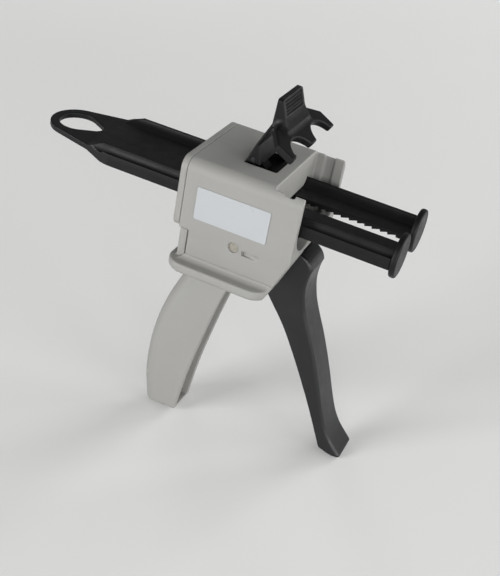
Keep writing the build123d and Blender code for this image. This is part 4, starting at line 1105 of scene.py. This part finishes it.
# clip_detent and clip_bracket take the darker black of painted shade
FINISHES = {
    "trigger_spring": STEEL, "pawl_return_spring": STEEL, "brake_spring": STEEL, "holding_pawl_pin": STEEL,
    "release_lever_pin": STEEL, "rear_cover_screws": STEEL, "frame_screws": STEEL, "drive_pawl_pin": STEEL,
    "drive_pawl_spring": STEEL, "drive_pawl": STEEL, "holding_pawl": STEEL, "clip_detent": SHADED_BLACK,
    "trigger_pin": PIN_FACE, "plunger_guides": GUIDE, "trigger_washers": GUIDE, "clip_pin": BLACK,
    "clip_bracket": SHADED_BLACK, "release_lever": BLACK, "label_plate": LABEL,
}
for node, material in FINISHES.items():
    dress(node, material)


# Stage, light and camera
scene = bpy.context.scene
scene.view_settings.view_transform = "Standard"
scene.render.film_transparent = False

FLOOR_HALF = 6.0
FLOOR_DARK = (0.795, 0.793, 0.785)
FLOOR_LIGHT = (0.807, 0.805, 0.797)
FLOOR_NOISE = (3.0, 2.0, 0.55)
FLOOR_ROUGH = 0.9
FLOOR_SPECULAR = 0.15
WORLD_STRENGTH = 0.216
LIGHT_DISTANCE = 2.5
LIGHT_SIZE = 1.4
LIGHT_AIM = Vector((0.0, 0.0, 0.08))

# Name, azimuth and elevation in degrees, power in watts, and whether gloss mirrors it
LIGHTS = [
    ("near_side", -60, 8, 35.9, True),
    ("near_front", -20, 10, 28.4, True),
    ("far_front", 20, 15, 19.2, True),
    ("near_rear", -130, 15, 50.9, True),
    ("far_side", 60, 12, 42.2, False),
]
BACKDROP_PLACE = Vector((-0.95, 1.25, 0.55))
BACKDROP_AIM = Vector((-0.5, 0.65, 0.0))
BACKDROP_SIZE = 0.5
BACKDROP_POWER = 2.6


def pale_floor():
    """Flat matt floor with a faint drift of tone."""
    mesh = bpy.data.meshes.new("floor")
    corners = [(-1, -1), (1, -1), (1, 1), (-1, 1)]
    mesh.from_pydata([(FLOOR_HALF * a, FLOOR_HALF * b, 0) for a, b in corners], [], [(0, 1, 2, 3)])
    floor = bpy.data.objects.new("floor", mesh)
    scene.collection.objects.link(floor)
    paper, nodes, links, shader = new_material("pale_paper")
    tint = two_tone(nodes, links, noise(nodes, links, *FLOOR_NOISE), FLOOR_DARK, FLOOR_LIGHT)
    links.new(tint, shader.inputs["Base Color"])
    shader.inputs["Roughness"].default_value = FLOOR_ROUGH
    shader.inputs["Specular IOR Level"].default_value = FLOOR_SPECULAR
    mesh.materials.append(paper)


def soft_box(name, place, aim, size, power, mirrored):
    """Square soft box at a place, looking at its aim."""
    data = bpy.data.lights.new(name, "AREA")
    data.shape = "SQUARE"
    data.size = size
    data.energy = power
    light = bpy.data.objects.new(name, data)
    light.location = place
    light.rotation_euler = (aim - place).to_track_quat("-Z", "Y").to_euler()
    light.visible_glossy = mirrored
    scene.collection.objects.link(light)


def around_tool(azimuth, elevation):
    """Place on a sphere round the tool."""
    a = math.radians(azimuth)
    e = math.radians(elevation)
    way = Vector((math.cos(a) * math.cos(e), math.sin(a) * math.cos(e), math.sin(e)))
    return LIGHT_AIM + LIGHT_DISTANCE * way


pale_floor()
world = bpy.data.worlds.new("studio")
world.use_nodes = True
background = world.node_tree.nodes["Background"]
background.inputs["Color"].default_value = (1.0, 1.0, 1.0, 1)
background.inputs["Strength"].default_value = WORLD_STRENGTH
scene.world = world
for name, azimuth, elevation, power, mirrored in LIGHTS:
    soft_box(name, around_tool(azimuth, elevation), LIGHT_AIM, LIGHT_SIZE, power, mirrored)
soft_box("backdrop", BACKDROP_PLACE, BACKDROP_AIM, BACKDROP_SIZE, BACKDROP_POWER, False)

# Camera at the photograph's viewing angle, in the tool's own frame
CAMERA_PLACE = (149.84, -363.63, 191.80)
CAMERA_RIGHT = (0.8973, 0.4071, 0.1705)
CAMERA_DOWN = (0.3533, -0.4308, -0.8304)
CAMERA_BACK = (0.2646, -0.8054, 0.5304)
FOCAL_PIXELS = 1032.934
FRAME_PIXELS = 576
SENSOR = 36.0
NEAREST = 0.01

camera_data = bpy.data.cameras.new("camera")
camera_data.sensor_fit = "VERTICAL"
camera_data.sensor_height = SENSOR
camera_data.lens = FOCAL_PIXELS / FRAME_PIXELS * SENSOR
camera_data.clip_start = NEAREST
camera = bpy.data.objects.new("camera", camera_data)
scene.collection.objects.link(camera)
right, down, back = turn_row([CAMERA_RIGHT, CAMERA_DOWN, CAMERA_BACK])
turn = Matrix((right, -down, back)).transposed()
camera.matrix_world = Matrix.Translation(Vector(to_row([CAMERA_PLACE])[0])) @ turn.to_4x4()
scene.camera = camera
